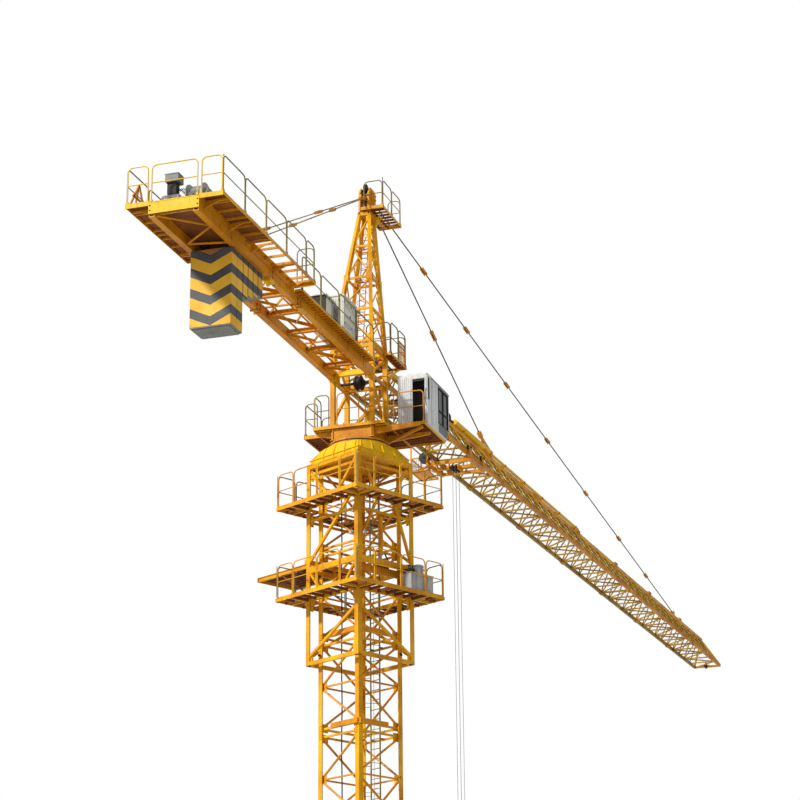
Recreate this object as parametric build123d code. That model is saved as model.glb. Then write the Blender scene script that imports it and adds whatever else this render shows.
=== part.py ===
from build123d import *
import math
import os

# Tower crane with a hammerhead jib, as a 1:2 scale model. Every size below is a model size in
# millimetres, so the real crane measures twice as much: about 68 m long over both jibs.
# Frame: origin on the mast axis at the foot, +Z up, +X along the jib, +Y to the jib's left.

# Mast
section_height = 1400.0
sections_below_cage = 6
sections_in_cage = 3
mast_half = 400.0
mast_chord = 96.0
mast_strut = 46.0
mast_brace = 38.0
strut_inset = 60.0
mast_turn = -27.46

# Mast foot
foot_plate = 300.0
foot_thick = 24.0
foot_beam = 58.0
anchor_hole_r = 14.0
anchor_offset = 85.0

# Ladder inside the mast
ladder_width = 200.0
ladder_rail = 24.0
ladder_inset = 90.0
ladder_bracket = 20.0
ladder_foot = 300.0
ladder_head = 30.0

# Climbing cage round the upper mast; drops are measured down from the mast's top
cage_gap = 55.0
cage_column = 80.0
cage_height = 3170.0
cage_bar = 50.0
cage_brace = 44.0
cage_top_beam = 60.0
cage_foot = 30.0
knee_rise = 440.0
hip_drop = 230.0

# Platforms round the cage
walkway_width = 332.0
platform_edge = 60.0
platform_edge_width = 26.0
platform_plate = 12.0
platform_joist = 30.0
lower_platform_drop = 2120.0
upper_platform_drop = 670.0
rail_height = 530.0
rail_tube = 18.0
rail_inset = 14.0

# Loading platform on the cage's far left face, measured up from the lower platform
loading_half_width = 400.0
loading_length = 1367.0
loading_rise = 630.0
loading_beam = 70.0
loading_beam_width = 40.0
loading_joists = 3

# Jacking gear, measured up from the lower platform, and hydraulic unit
jack_beam_rise = 280.0
jack_beam = 110.0
jack_beam_thick = 45.0
jack_stroke = 200.0
jack_cylinder_r = 40.0
jack_rod_r = 16.0
jack_socket = 5.0
jack_bracket_half = 60.0
jack_bracket_height = 50.0
pump_rear = 120.0
pump_length = 600.0
pump_gap = 28.0
pump_height = 300.0
pump_block = 220.0
pump_block_height = 130.0

# Slewing base and ring
base_inset = 40.0
base_skirt = 90.0
base_lip = 25.0
base_height = 260.0
ring_r = 465.0
ring_bore = 360.0
ring_height = 75.0
ring_gap = 8.0
race_lip = 55.0
race_play = 0.1

# Slewing frame and decks
frame_height = 218.0
frame_inset = 20.0
frame_well = 400.0
deck_plate = 14.0
deck_edge = 60.0
deck_edge_width = 26.0
deck_rear_margin = 17.0
deck_front = 945.0
deck_right = 545.0
deck_left = 635.0
wing_rear = 60.0
wing_length = 760.0
wing_width = 270.0
cab_deck_rear = 105.0
cab_deck_margin = 5.0
rail_gap = 42.0

# Cab
cab_setback = 130.0
cab_gap = 85.0
cab_length = 1140.0
cab_width = 475.0
cab_height = 850.0
cab_wall = 24.0
cab_slant = 150.0
cab_slant_height = 260.0
door_width = 230.0
door_edge = 50.0
door_sill = 30.0
door_height = 730.0
window_margin = 70.0
window_sill = 210.0
front_sill_rise = 30.0
side_window_setback = 600.0
glass_thick = 10.0

# Slewing tower
tower_half = 322.0
tower_column = 72.0
tower_bar = 50.0
tower_brace = 44.0
tower_height = 1325.0
tower_foot_bar = 80.0
tower_sheave_drop = 535.0
tower_sheave_r = 120.0
tower_sheave_width = 100.0
tower_axle_r = 24.0

# Tower head with its cap
head_height = 2500.0
head_rear_x = 282.0
head_front_x = 470.0
head_top_half = 76.0
head_leg = 60.0
head_bar = 34.0
head_levels = 4
head_margin = 0.02
cap_height = 450.0
cap_wall = 30.0
cap_floor = 60.0
cap_skirt = 60.0
cap_half = 92.0
cap_rear_margin = 40.0
cap_front_margin = 105.0
sheave_r = 110.0
sheave_width = 36.0
sheave_axle_r = 20.0
head_sheave_drop = 30.0
sheave_gap = 15.0

# Platform beside the cap and platform at the head's foot
head_deck_strip = 30.0
head_deck_length = 920.0
head_deck_width = 253.0
head_deck_left = 40.0
head_deck_gap = 20.0
head_deck_rise = 60.0
front_deck_rear = 135.0
front_deck_length = 765.0
front_deck_right = 132.0
front_deck_left = 320.0
front_deck_drop = 30.0
light_plate = 12.0
light_edge = 50.0
light_edge_width = 22.0

# Counter-jib
counter_length = 6842.0
counter_chord_inset = 7.0
counter_chord_width = 90.0
counter_chord_height = 150.0
counter_drop = 500.0
counter_cross = 70.0
counter_cross_spacing = 850.0
counter_brace = 40.0
counter_end_inset = 40.0
counter_plate = 12.0
walkway_rise = 80.0
walkway_reach = 340.0
walkway_edge = 64.0
walkway_edge_width = 24.0
narrow_walkway = 130.0
left_walkway_length = 2050.0
floor_front_gap = 300.0
floor_gap = 20.0
end_plate_height = 175.0
end_plate_thick = 16.0
end_plate_rise = 40.0

# Hoist winch
winch_inset = 400.0
winch_length = 520.0
winch_width = 640.0
winch_bed = 50.0
drum_r = 130.0
drum_flange_r = 185.0
drum_flange = 22.0
drum_length = 240.0
drum_shift = 70.0
drum_clearance = 10.0
gearbox_length = 260.0
gearbox_width = 60.0
gearbox_height = 280.0
stand_length = 60.0
stand_width = 50.0
motor_r = 95.0
motor_length = 210.0
motor_gap = 40.0

# Counterweights hung between the chords
weight_half = 300.0
weight_gap = 10.0
weight_hanger = 40.0
hanger_half_spread = 150.0
hanger_rest = 20.0
hanger_socket = 5.0
rear_weight_inset = 1250.0
rear_weight_thick = 410.0
rear_weight_height = 1135.0
front_weight_thick = 170.0
front_weight_gap = 10.0
front_weight_count = 4
front_weight_height = 580.0
front_weight_step = 100.0
weight_clearance = 50.0

# Electric cabinets beside the right chord, measured back from the slewing tower
cabinet_setback = 1017.0
cabinet_length = 570.0
cabinet_height = 600.0
cabinet_depth = 224.0
cabinet_edge = 35.0
cabinet_space = 235.0
small_cabinet_length = 560.0
small_cabinet_height = 300.0
walkway_space = 1060.0

# Jib
jib_length = 26292.0
jib_sections = 8
jib_panels = 3
jib_spread = 3.0
jib_depth = 570.0
jib_slope = 2.27
jib_chord = 70.0
jib_top_chord = 84.0
jib_bar = 32.0
jib_root_bar = 64.0
jib_taper = 1150.0
jib_nose = 660.0
root_clearance = 87.8
nose_plate = 12.0
nose_plate_half = 60.0
nose_sheave_r = 80.0

# Trolley winch across the jib's root
trolley_winch_x = 1300.0
trolley_winch_length = 420.0
trolley_winch_bed = 40.0
trolley_drum_r = 75.0
trolley_drum_half = 90.0
trolley_winch_stand = 30.0
trolley_winch_motor = 130.0

# Jib ties and counter-jib ties
tie_width = 32.0
tie_plate_thick = 24.0
tie_plate_height = 50.0
tie_plate_length = 150.0
tie_overlap = 15.0
tie_play = 0.3
tie_foot_height = 120.0
tie_foot_half = 70.0
tie_lug_depth = 90.0
tie_lug_thick = 20.0
long_tie_drop = 80.0
short_tie_drop = 150.0
counter_tie_rise = 270.0
counter_tie_inset = 45.0
counter_lug_inset = 1700.0
long_tie_from_tip = 3950.0
short_tie_from_root = 6777.0

# Trolley, hoist rope and hook block
trolley_from_root = 4692.0
trolley_length = 900.0
trolley_drop = 130.0
trolley_bar = 60.0
trolley_wheel_r = 55.0
trolley_wheel_width = 34.0
wheel_inset = 12.0
wheel_play = 0.3
trolley_hanger = 30.0
sheave_box_margin = 60.0
sheave_box_half = 90.0
sheave_box_below = 80.0
sheave_box_above = 20.0
basket_length = 600.0
basket_width = 330.0
basket_height = 500.0
basket_bar = 24.0
basket_floor = 20.0
rope_length = 5836.0
rope_r = 9.0
rope_spread_x = 190.0
rope_spread_y = 60.0
hook_plate_height = 420.0
hook_plate_width = 260.0
hook_plate_half = 50.0
hook_shank = 120.0
hook_bar_r = 32.0
hook_inner_r = 90.0
hook_mouth_low = 10.0

# Mast and cage worked out from the sizes above
mast_top = (sections_below_cage + sections_in_cage) * section_height
mast_outer = mast_half + mast_chord / 2
cage_half = mast_outer + cage_gap + cage_column / 2
cage_outer = cage_half + cage_column / 2
cage_bottom = mast_top - cage_height
platform_half = cage_outer + walkway_width
lower_platform_z = mast_top - lower_platform_drop
upper_platform_z = mast_top - upper_platform_drop
knee_z = lower_platform_z + knee_rise
hip_z = upper_platform_z - hip_drop
loading_z = lower_platform_z + loading_rise

# Slewing gear, decks and cab worked out from the sizes above
ring_bottom = mast_top + base_height
race_r = ring_r - race_lip
frame_bottom = ring_bottom + ring_height + ring_gap
tower_foot = frame_bottom + frame_height
deck_z = tower_foot + deck_plate
tower_outer = tower_half + tower_column / 2
frame_half = tower_outer - frame_inset
cab_left = -deck_right - cab_gap
cab_right = cab_left - cab_width
cab_rear = cab_setback - cab_deck_rear
cab_front = cab_rear + cab_length
cab_deck_right = cab_right - cab_deck_margin
cab_roof = deck_z + cab_height

# Tower head worked out from the sizes above
tower_top = deck_z + tower_height
tower_sheave_z = tower_top - tower_sheave_drop
head_top = tower_top + head_height
cap_top = head_top + cap_height
cap_rear = head_rear_x - cap_rear_margin
cap_front = head_front_x + cap_front_margin
cap_floor_half = head_top_half + head_leg / 2
cap_inner = cap_half - cap_wall
head_sheave_x = cap_front - tie_lug_depth - sheave_gap - sheave_r
head_sheave_z = cap_top - head_sheave_drop
head_deck_z = head_top + head_deck_rise
head_deck_rear = cap_rear - head_deck_strip
head_deck_front = head_deck_rear + head_deck_length
head_deck_right = -cap_half - head_deck_width
front_deck_z = tower_top - front_deck_drop
front_deck_front = front_deck_rear + front_deck_length

# Counter-jib worked out from the sizes above
counter_root = -tower_outer
counter_rear = counter_root - counter_length
counter_z = tower_top - counter_drop
counter_chord_y = tower_half - counter_chord_inset
counter_top = counter_z + counter_chord_height / 2
counter_bottom = counter_z - counter_chord_height / 2
counter_side = counter_chord_y + counter_chord_width / 2
floor_z = counter_top + counter_plate
walkway_z = counter_top + walkway_rise
walkway_outer = counter_side + walkway_reach
winch_x = counter_rear + winch_inset
weights_rear = counter_rear + rear_weight_inset
weights_front = weights_rear + rear_weight_thick + front_weight_count * (
    front_weight_gap + front_weight_thick
)
cabinet_front = counter_root - cabinet_setback
cabinet_rear = cabinet_front - cabinet_length
small_cabinet_front = cabinet_rear - cabinet_space
small_cabinet_rear = small_cabinet_front - small_cabinet_length
right_walkway_front = small_cabinet_rear - walkway_space
left_walkway_front = counter_rear + left_walkway_length
counter_lug_x = counter_rear + counter_lug_inset

# Jib worked out from the sizes above; its root braces stay under the foot platform
slope_rise = math.tan(math.radians(jib_slope))
slope_cos = math.cos(math.radians(jib_slope))
jib_root = tower_outer
jib_tip = jib_root + jib_length
jib_half = tower_half + jib_spread
root_brace_rise = (jib_depth + jib_taper * slope_rise) * (front_deck_front - jib_root) / jib_taper
jib_root_z = front_deck_z - light_edge - root_clearance - root_brace_rise - jib_root_bar / 2
trolley_x = jib_root + trolley_from_root


def box(x0, x1, y0, y1, z0, z1):
    """A box between two corners."""
    centre = Location(((x0 + x1) / 2, (y0 + y1) / 2, (z0 + z1) / 2))
    return centre * Box(abs(x1 - x0), abs(y1 - y0), abs(z1 - z0))


def bar(start, end, width, height=None):
    """A straight bar of rectangular section between two points."""
    a, b = Vector(*start), Vector(*end)
    run = b - a
    up = Vector(0, 0, 1) if abs(run.normalized().Z) < 0.9 else Vector(1, 0, 0)
    plane = Plane(origin=a, x_dir=up.cross(run).normalized(), z_dir=run)
    align = (Align.CENTER, Align.CENTER, Align.MIN)
    return plane * Box(width, height or width, run.length, align=align)


def rod(start, end, radius):
    """A straight round rod between two points."""
    a, b = Vector(*start), Vector(*end)
    align = (Align.CENTER, Align.CENTER, Align.MIN)
    return Plane(origin=a, z_dir=b - a) * Cylinder(radius, (b - a).length, align=align)


def disc(centre, axis, radius, thick):
    """A disc with its middle at centre and its axis along a direction."""
    return Plane(origin=Vector(*centre), z_dir=Vector(*axis)) * Cylinder(radius, thick)


def fuse(pieces):
    """All pieces as one shape."""
    pieces = list(pieces)
    return pieces[0].fuse(*pieces[1:]) if len(pieces) > 1 else pieces[0]


def write(name, shape):
    """Write one node to its own file."""
    if isinstance(shape, (list, ShapeList)):
        shape = Compound(children=list(shape))
    export_step(shape, os.path.join("parts", name + ".step"))


def turned(shape):
    """A shape built square to the mast's faces, turned to the mast's own heading."""
    return Location((0, 0, 0), (0, 0, mast_turn)) * shape


def corners(half):
    return [(-half, -half), (half, -half), (half, half), (-half, half)]


def sides(half):
    """The four sides of a square, as pairs of corners."""
    ring = corners(half)
    return [(ring[i], ring[(i + 1) % 4]) for i in range(4)]


def posts_at(places, width, bottom, top):
    """Upright square posts at a list of places."""
    half = width / 2
    return [box(x - half, x + half, y - half, y + half, bottom, top) for x, y in places]


def lifted(point, z):
    return (point[0], point[1], z)


def between(p, q, share):
    return tuple(a + (b - a) * share for a, b in zip(p, q))


# Mast

def mast_section(bottom, foot):
    """Four chords, a strut at the joint and a zigzag on each face."""
    top = bottom + section_height
    pieces = posts_at(corners(mast_half), mast_chord, bottom + foot, top)
    low = bottom + strut_inset + foot
    middle = bottom + section_height / 2
    strut = top - strut_inset
    high = strut - 2 * mast_brace
    for p, q in sides(mast_half):
        pieces.append(bar(lifted(p, strut), lifted(q, strut), mast_strut))
        pieces.append(bar(lifted(q, low), lifted(p, middle - mast_brace), mast_brace))
        pieces.append(bar(lifted(p, middle + mast_brace), lifted(q, high), mast_brace))
    return fuse(pieces)


def base_frame():
    """Foot plates with anchor holes, tied together by beams on the ground."""
    half = foot_plate / 2
    pieces = []
    for x, y in corners(mast_half):
        plate = box(x - half, x + half, y - half, y + half, 0, foot_thick)
        hole_x = x + math.copysign(anchor_offset, x)
        hole_y = y + math.copysign(anchor_offset, y)
        hole = rod((hole_x, hole_y, -foot_thick), (hole_x, hole_y, 2 * foot_thick), anchor_hole_r)
        pieces.append(plate - hole)
    inner = mast_outer - mast_chord
    share = (mast_half - inner) / (2 * mast_half)
    for p, q in sides(mast_half):
        a = lifted(between(p, q, share), foot_beam / 2)
        b = lifted(between(p, q, 1 - share), foot_beam / 2)
        pieces.append(bar(a, b, foot_beam))
    return fuse(pieces)


def mast_ladder():
    """Two rails up one inner side of the mast, held by a bracket plate at each strut."""
    x = mast_half - ladder_inset
    half = ladder_width / 2
    rail = ladder_rail / 2
    reach = mast_half - mast_strut / 2
    pieces = posts_at([(x, -half), (x, half)], ladder_rail, ladder_foot, mast_top - ladder_head)
    for number in range(sections_below_cage + sections_in_cage):
        z = (number + 1) * section_height - strut_inset
        low, high = z - ladder_bracket / 2, z + ladder_bracket / 2
        pieces.append(box(x - rail, reach, -half - rail, half + rail, low, high))
    return fuse(pieces)


# Climbing cage and its platforms

def climbing_cage():
    """The sleeve lattice that climbs outside the mast."""
    beam_z = mast_top - cage_top_beam / 2
    pieces = posts_at(corners(cage_half), cage_column, cage_bottom, mast_top)
    levels = (cage_bottom + cage_foot, knee_z, hip_z)
    braces = (
        (levels[0] + cage_column, lower_platform_z - platform_edge),
        (lower_platform_z, knee_z - cage_column),
        (knee_z + cage_column, hip_z - cage_column),
        (upper_platform_z, mast_top - cage_top_beam - cage_brace),
    )
    for p, q in sides(cage_half):
        for level in levels:
            pieces.append(bar(lifted(p, level), lifted(q, level), cage_bar))
        pieces.append(bar(lifted(p, beam_z), lifted(q, beam_z), cage_bar, cage_top_beam))
        for number, (low, high) in enumerate(braces):
            a, b = (p, q) if number % 2 == 0 else (q, p)
            pieces.append(bar(lifted(a, low), lifted(b, high), cage_brace))
    return fuse(pieces)


def ring_platform(deck_top):
    """A square walkway round the cage: edge angles, a plate and joists under it."""
    deck_bottom = deck_top - platform_plate
    plate = box(-platform_half, platform_half, -platform_half, platform_half, deck_bottom, deck_top)
    well = box(-cage_outer, cage_outer, -cage_outer, cage_outer, deck_bottom, deck_top)
    pieces = [plate - well]
    edge_z = deck_top - platform_edge / 2
    rim = cage_outer + platform_edge_width / 2
    edge = platform_half - platform_edge_width / 2
    for half in (rim, edge):
        for p, q in sides(half):
            pieces.append(bar(lifted(p, edge_z), lifted(q, edge_z), platform_edge_width, platform_edge))
    joist_z = deck_bottom - platform_joist / 2
    for x in (-cage_outer / 3, cage_outer / 3):
        for side in (-1, 1):
            pieces.append(bar((x, side * rim, joist_z), (x, side * edge, joist_z), platform_joist))
            pieces.append(bar((side * rim, x, joist_z), (side * edge, x, joist_z), platform_joist))
    return fuse(pieces)


def rail_run(points, bottom, spans=1):
    """Posts and two rails along a line of points; spans says how many bays each side has."""
    places = []
    for p, q in zip(points, points[1:]):
        places += [between(p, q, number / spans) for number in range(spans)]
    if points[0] != points[-1]:
        places.append(points[-1])
    pieces = posts_at(places, rail_tube, bottom, bottom + rail_height)
    for p, q in zip(points, points[1:]):
        for level in (rail_height / 2, rail_height):
            z = bottom + level - rail_tube / 2
            pieces.append(bar(lifted(p, z), lifted(q, z), rail_tube))
    return fuse(pieces)


def ring_rails(deck_top):
    """Posts and two rails round the outer edge of a walkway."""
    ring = corners(platform_half - rail_inset)
    return rail_run(ring + ring[:1], deck_top, 2)


def loading_platform():
    """The runway on which new mast sections are carried in, on the far left face."""
    near = cage_outer
    far = cage_outer + loading_length
    side = loading_half_width
    beam_bottom = loading_z - loading_beam
    width = loading_beam_width
    pieces = [
        box(-side, side, near, far, loading_z - platform_plate, loading_z),
        box(-cage_outer, cage_outer, near, near + width, beam_bottom, loading_z),
    ]
    for x in (-side, side - width):
        pieces.append(box(x, x + width, near, far, beam_bottom, loading_z))
    for number in range(1, loading_joists + 1):
        y = near + (far - near) * number / loading_joists
        pieces.append(box(-side, side, y - width, y, loading_z - width, loading_z))
    return fuse(pieces)


def climbing_jack():
    """Crossbeam on the mast chords, rod and cylinder up to a bracket on the cage."""
    y = -mast_outer - jack_beam_thick / 2
    beam_bottom = lower_platform_z + jack_beam_rise
    beam_top = beam_bottom + jack_beam
    cylinder_foot = beam_top + jack_stroke
    cage_face = cage_bar / 2 - cage_half
    low = hip_z - jack_bracket_height / 2
    high = hip_z + jack_bracket_height / 2
    return fuse([
        box(-mast_outer, mast_outer, -mast_outer - jack_beam_thick, -mast_outer, beam_bottom, beam_top),
        rod((0, y, beam_top - jack_socket), (0, y, cylinder_foot), jack_rod_r),
        rod((0, y, cylinder_foot - jack_socket), (0, y, low + jack_socket), jack_cylinder_r),
        box(-jack_bracket_half, jack_bracket_half, cage_face, y + jack_cylinder_r, low, high),
    ])


def hydraulic_power_unit():
    """Tank with its valve block, standing on the lower platform's near right walkway."""
    inner = -cage_outer - pump_gap
    outer = rail_inset + rail_tube / 2 + pump_gap - platform_half
    tank_top = lower_platform_z + pump_height
    block_front = pump_rear + pump_block
    block_top = tank_top + pump_block_height
    return fuse([
        box(pump_rear, pump_rear + pump_length, outer, inner, lower_platform_z, tank_top),
        box(pump_rear, block_front, outer + pump_gap, inner - pump_gap, tank_top, block_top),
    ])


# Slewing base and ring

def slewing_base():
    """Square skirt on the mast and cage that slopes up to a round seat for the ring."""
    half = cage_outer - base_inset
    skirt_top = mast_top + base_skirt
    foot = Plane(origin=(0, 0, skirt_top)) * Rectangle(2 * half, 2 * half)
    seat = Plane(origin=(0, 0, ring_bottom)) * Circle(ring_r + base_lip)
    skirt = box(-half, half, -half, half, mast_top, skirt_top)
    well = ring_bore / 2
    return skirt + loft([foot, seat], ruled=True) - box(-well, well, -well, well, mast_top, ring_bottom)


def slewing_ring():
    """Outer half of the slewing ring; the inner half turns in its bore."""
    ring = rod((0, 0, ring_bottom), (0, 0, ring_bottom + ring_height), ring_r)
    return ring - rod((0, 0, ring_bottom), (0, 0, ring_bottom + ring_height), race_r + race_play)


# Slewing superstructure

def deck_panel(x0, x1, y0, y1, top, section, joists):
    """A walkway panel: plate, edge angles and joists across it."""
    plate, edge, width = section
    pieces = [box(x0, x1, y0, y1, top - plate, top)]
    for y in (y0, y1 - width):
        pieces.append(box(x0, x1, y, y + width, top - edge, top))
    for number in range(joists + 2):
        x = x0 + (x1 - x0 - width) * number / (joists + 1)
        pieces.append(box(x, x + width, y0, y1, top - edge, top))
    return pieces


def slewing_platform():
    """Inner half of the ring, the frame box on it and the decks round the slewing tower."""
    section = (deck_plate, deck_edge, deck_edge_width)
    rear = -tower_outer - deck_rear_margin
    wing_left = deck_left + wing_width
    deck = fuse(
        deck_panel(rear, deck_front, -deck_right, deck_left, deck_z, section, 2)
        + deck_panel(-wing_rear, wing_length - wing_rear, deck_left, wing_left, deck_z, section, 1)
        + deck_panel(-cab_deck_rear, deck_front, cab_deck_right, -deck_right, deck_z, section, 3)
    )
    deck -= fuse(posts_at(corners(tower_half), tower_column, tower_foot, deck_z))
    well = frame_well / 2
    deck -= box(-well, well, -well, well, tower_foot - deck_edge, deck_z)
    frame = box(-frame_half, frame_half, -frame_half, frame_half, frame_bottom, tower_foot)
    frame -= box(-well, well, -well, well, frame_bottom, tower_foot)
    race = rod((0, 0, ring_bottom + ring_gap), (0, 0, frame_bottom), race_r)
    return fuse([deck, frame, race])


def slewing_rails():
    """Rails round the rear left deck, the left wing, the front and the cab deck's rear."""
    i = rail_inset
    rear = -tower_outer - deck_rear_margin + i
    wing_back = i - wing_rear
    wing_front = wing_length - wing_rear - i
    wing_right, wing_left = deck_left + rail_gap, deck_left + wing_width - i
    left, front = deck_left - i, deck_front - i
    cab_back = i - cab_deck_rear
    wing = [
        (wing_back, wing_right), (wing_back, wing_left),
        (wing_front, wing_left), (wing_front, wing_right),
    ]
    return [
        rail_run([(rear, tower_outer + rail_tube / 2), (rear, left), (wing_back, left)], deck_z),
        rail_run(wing, deck_z),
        rail_run([(front, left), (front, 0)], deck_z),
        rail_run([(cab_back, -deck_right - rail_gap), (cab_back, cab_deck_right + i)], deck_z),
    ]


def slewing_tower():
    """Four columns with bars and one diagonal on each face."""
    pieces = posts_at(corners(tower_half), tower_column, tower_foot, tower_top)
    top = tower_top - tower_column / 2
    for p, q in sides(tower_half):
        pieces.append(bar(lifted(p, top), lifted(q, top), tower_bar))
        pieces.append(bar(lifted(p, tower_sheave_z), lifted(q, tower_sheave_z), tower_bar))
        foot = tower_foot + tower_foot_bar
        pieces.append(bar(lifted(q, foot), lifted(p, tower_sheave_z - tower_bar), tower_brace))
    return fuse(pieces)


def sheave(x, z, radius, width, reach, axle_r):
    """A rope sheave on its eight-sided axle, which spans between two faces."""
    section = Plane(origin=(x, -reach, z), z_dir=(0, 1, 0)) * RegularPolygon(axle_r, 8)
    return disc((x, 0, z), (0, 1, 0), radius, width) + extrude(section, 2 * reach)


def rope_sheaves():
    """Sheaves in the slewing tower, in the head's cap and at the jib's nose."""
    nose = jib_point(nose_sheave_x(), 0, 0)
    reach = tower_half - tower_bar / 2
    return [
        sheave(0, tower_sheave_z, tower_sheave_r, tower_sheave_width, reach, tower_axle_r),
        sheave(head_sheave_x, head_sheave_z, sheave_r, sheave_width, cap_inner, sheave_axle_r),
        sheave(nose[0], nose[2], nose_sheave_r, sheave_width, nose_plate_half, sheave_axle_r),
    ]


def cab_body(inset):
    """The cab's outline with its slanted lower front, cut in by a wall's thickness all round."""
    rear, front = cab_rear + inset, cab_front - inset
    floor, roof = deck_z + inset, cab_roof - inset
    heel = inset * math.tan(math.atan2(cab_slant, cab_slant_height) / 2)
    outline = Polyline(
        (rear, floor), (cab_front - cab_slant - heel, floor), (front, deck_z + cab_slant_height + heel),
        (front, roof), (rear, roof), close=True,
    )
    left = cab_left - inset
    width = left - cab_right - inset
    return Location((0, left, 0)) * extrude(make_face(Plane.XZ * outline), width, dir=(0, -1, 0))


def side_window(y0, y1):
    low, high = deck_z + window_sill, cab_roof - window_margin
    return box(cab_rear + side_window_setback, cab_front - window_margin, y0, y1, low, high)


def front_window(x0, x1):
    low, high = deck_z + cab_slant_height + front_sill_rise, cab_roof - window_margin
    return box(x0, x1, cab_right + window_margin, cab_left - window_margin, low, high)


def cab_shell():
    """Operator's cab: a hollow box with a door opening, windows and a slanted front."""
    door_right = cab_right + door_edge
    sill = deck_z + door_sill
    lintel = sill + door_height
    door = box(cab_rear, cab_rear + cab_wall, door_right, door_right + door_width, sill, lintel)
    side = side_window(cab_right, cab_right + cab_wall)
    front = front_window(cab_front - cab_wall, cab_front)
    return cab_body(0) - cab_body(cab_wall) - door - side - front


def cab_glass():
    """Panes in the middle of the side and front walls."""
    low = (cab_wall - glass_thick) / 2
    high = (cab_wall + glass_thick) / 2
    return [
        side_window(cab_right + low, cab_right + high),
        front_window(cab_front - high, cab_front - low),
    ]


def head_leg_point(index, share):
    """A point on one of the head's four leaning legs, share 0 at the foot and 1 at the top."""
    low = corners(tower_half)
    half = head_top_half
    high = [(head_rear_x, -half), (head_front_x, -half), (head_front_x, half), (head_rear_x, half)]
    return between(lifted(low[index], tower_top), lifted(high[index], head_top), share)


def tower_head():
    """Leaning four-leg lattice with its cap: two cheeks on a floor, and lugs for the ties."""
    spread = (1 - 2 * head_margin) / head_levels
    levels = [head_margin + spread * number for number in range(head_levels + 1)]
    pieces = []
    for index in range(4):
        other = (index + 1) % 4
        pieces.append(bar(head_leg_point(index, 0), head_leg_point(index, 1), head_leg))
        for level in levels:
            pieces.append(bar(head_leg_point(index, level), head_leg_point(other, level), head_bar))
        for number, (low, high) in enumerate(zip(levels, levels[1:])):
            a, b = (index, other) if number % 2 else (other, index)
            low, high = low + head_margin, high - head_margin
            pieces.append(bar(head_leg_point(a, low), head_leg_point(b, high), head_bar))
    pieces.append(box(
        cap_rear, cap_front, -cap_floor_half, cap_floor_half, head_top - cap_floor, head_top,
    ))
    counter_lug = head_top + counter_tie_rise
    slot = tie_plate_thick / 2 + tie_play
    for side in (-1, 1):
        pieces.append(box(
            cap_rear, cap_front, side * cap_inner, side * cap_half, head_top - cap_skirt, cap_top,
        ))
        pieces.append(box(
            cap_front - tie_lug_depth, cap_front, side * slot, side * (slot + tie_lug_thick),
            head_top, cap_top,
        ))
        pieces.append(box(
            cap_rear, cap_rear + tie_lug_depth, side * (counter_tie_y() + slot), side * cap_inner,
            counter_lug - tie_lug_depth / 2, counter_lug + tie_lug_depth / 2,
        ))
    feet = box(-tower_outer, tower_outer, -tower_outer, tower_outer, tower_top - head_leg, tower_top)
    return fuse(pieces) - feet


def platforms_at_head():
    """Access platform round the cap's right side and the platform at the head's foot."""
    section = (light_plate, light_edge, light_edge_width)
    z, rear, front = head_deck_z, head_deck_rear, head_deck_front
    side = deck_panel(rear, front, head_deck_right, -cap_half, z, section, 3)
    side.append(box(rear, cap_rear, -cap_half, head_deck_left, z - light_edge, z))
    ahead = deck_panel(cap_front + head_deck_gap, front, -cap_half, head_deck_left, z, section, 1)
    z, rear, front = front_deck_z, front_deck_rear, front_deck_front
    foot_side = deck_panel(rear, front, -tower_outer - front_deck_right, -tower_outer, z, section, 1)
    foot_ahead = deck_panel(tower_outer, front, -tower_outer, front_deck_left, z, section, 1)
    return [fuse(side + ahead), fuse(foot_side + foot_ahead)]


def rails_at_head():
    i = rail_inset
    rear, front = head_deck_rear + i, head_deck_front - i
    near, far = -cap_half - i, head_deck_right + i
    foot_rear, foot_front = front_deck_rear + i, front_deck_front - i
    foot_right, foot_left = i - tower_outer - front_deck_right, front_deck_left - i
    at_foot = [(foot_rear, foot_right), (foot_front, foot_right), (foot_front, foot_left)]
    return [
        rail_run([(rear, 0), (rear, far), (front, far), (front, near)], head_deck_z),
        rail_run(at_foot, front_deck_z),
    ]


# Counter-jib

def cross_beam_places():
    """Cross beams along the counter-jib, none over the counterweights."""
    first = counter_rear + counter_end_inset
    last = counter_root - 2 * counter_end_inset
    spans = int((last - first) / counter_cross_spacing)
    rear, front = weights_rear - weight_clearance, weights_front + weight_clearance
    places = [first + number * (last - first) / spans for number in range(spans + 1)]
    half = counter_cross / 2
    return [x for x in places if x + half < rear or x - half > front]


def counter_jib_frame():
    """Two chords, cross beams, plan bracing and the rear end plate."""
    half_w, half_cross = counter_chord_width / 2, counter_cross / 2
    bottom, top = counter_bottom, counter_top
    pieces = []
    for y in (-counter_chord_y, counter_chord_y):
        pieces.append(box(counter_rear, counter_root, y - half_w, y + half_w, bottom, top))
    places = cross_beam_places()
    for x in places:
        pieces.append(box(
            x - half_cross, x + half_cross, -counter_chord_y, counter_chord_y,
            counter_z - half_cross, counter_z + half_cross,
        ))
    front = [x for x in places if x > weights_front]
    for number, (a, b) in enumerate(zip(front, front[1:])):
        y = counter_chord_y if number % 2 == 0 else -counter_chord_y
        pieces.append(bar((a, y, counter_z), (b, -y, counter_z), counter_brace))
    plate_bottom = counter_bottom + end_plate_rise
    pieces.append(box(
        counter_rear - end_plate_thick, counter_rear, -counter_side, counter_side,
        plate_bottom, plate_bottom + end_plate_height,
    ))
    return fuse(pieces)


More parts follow.
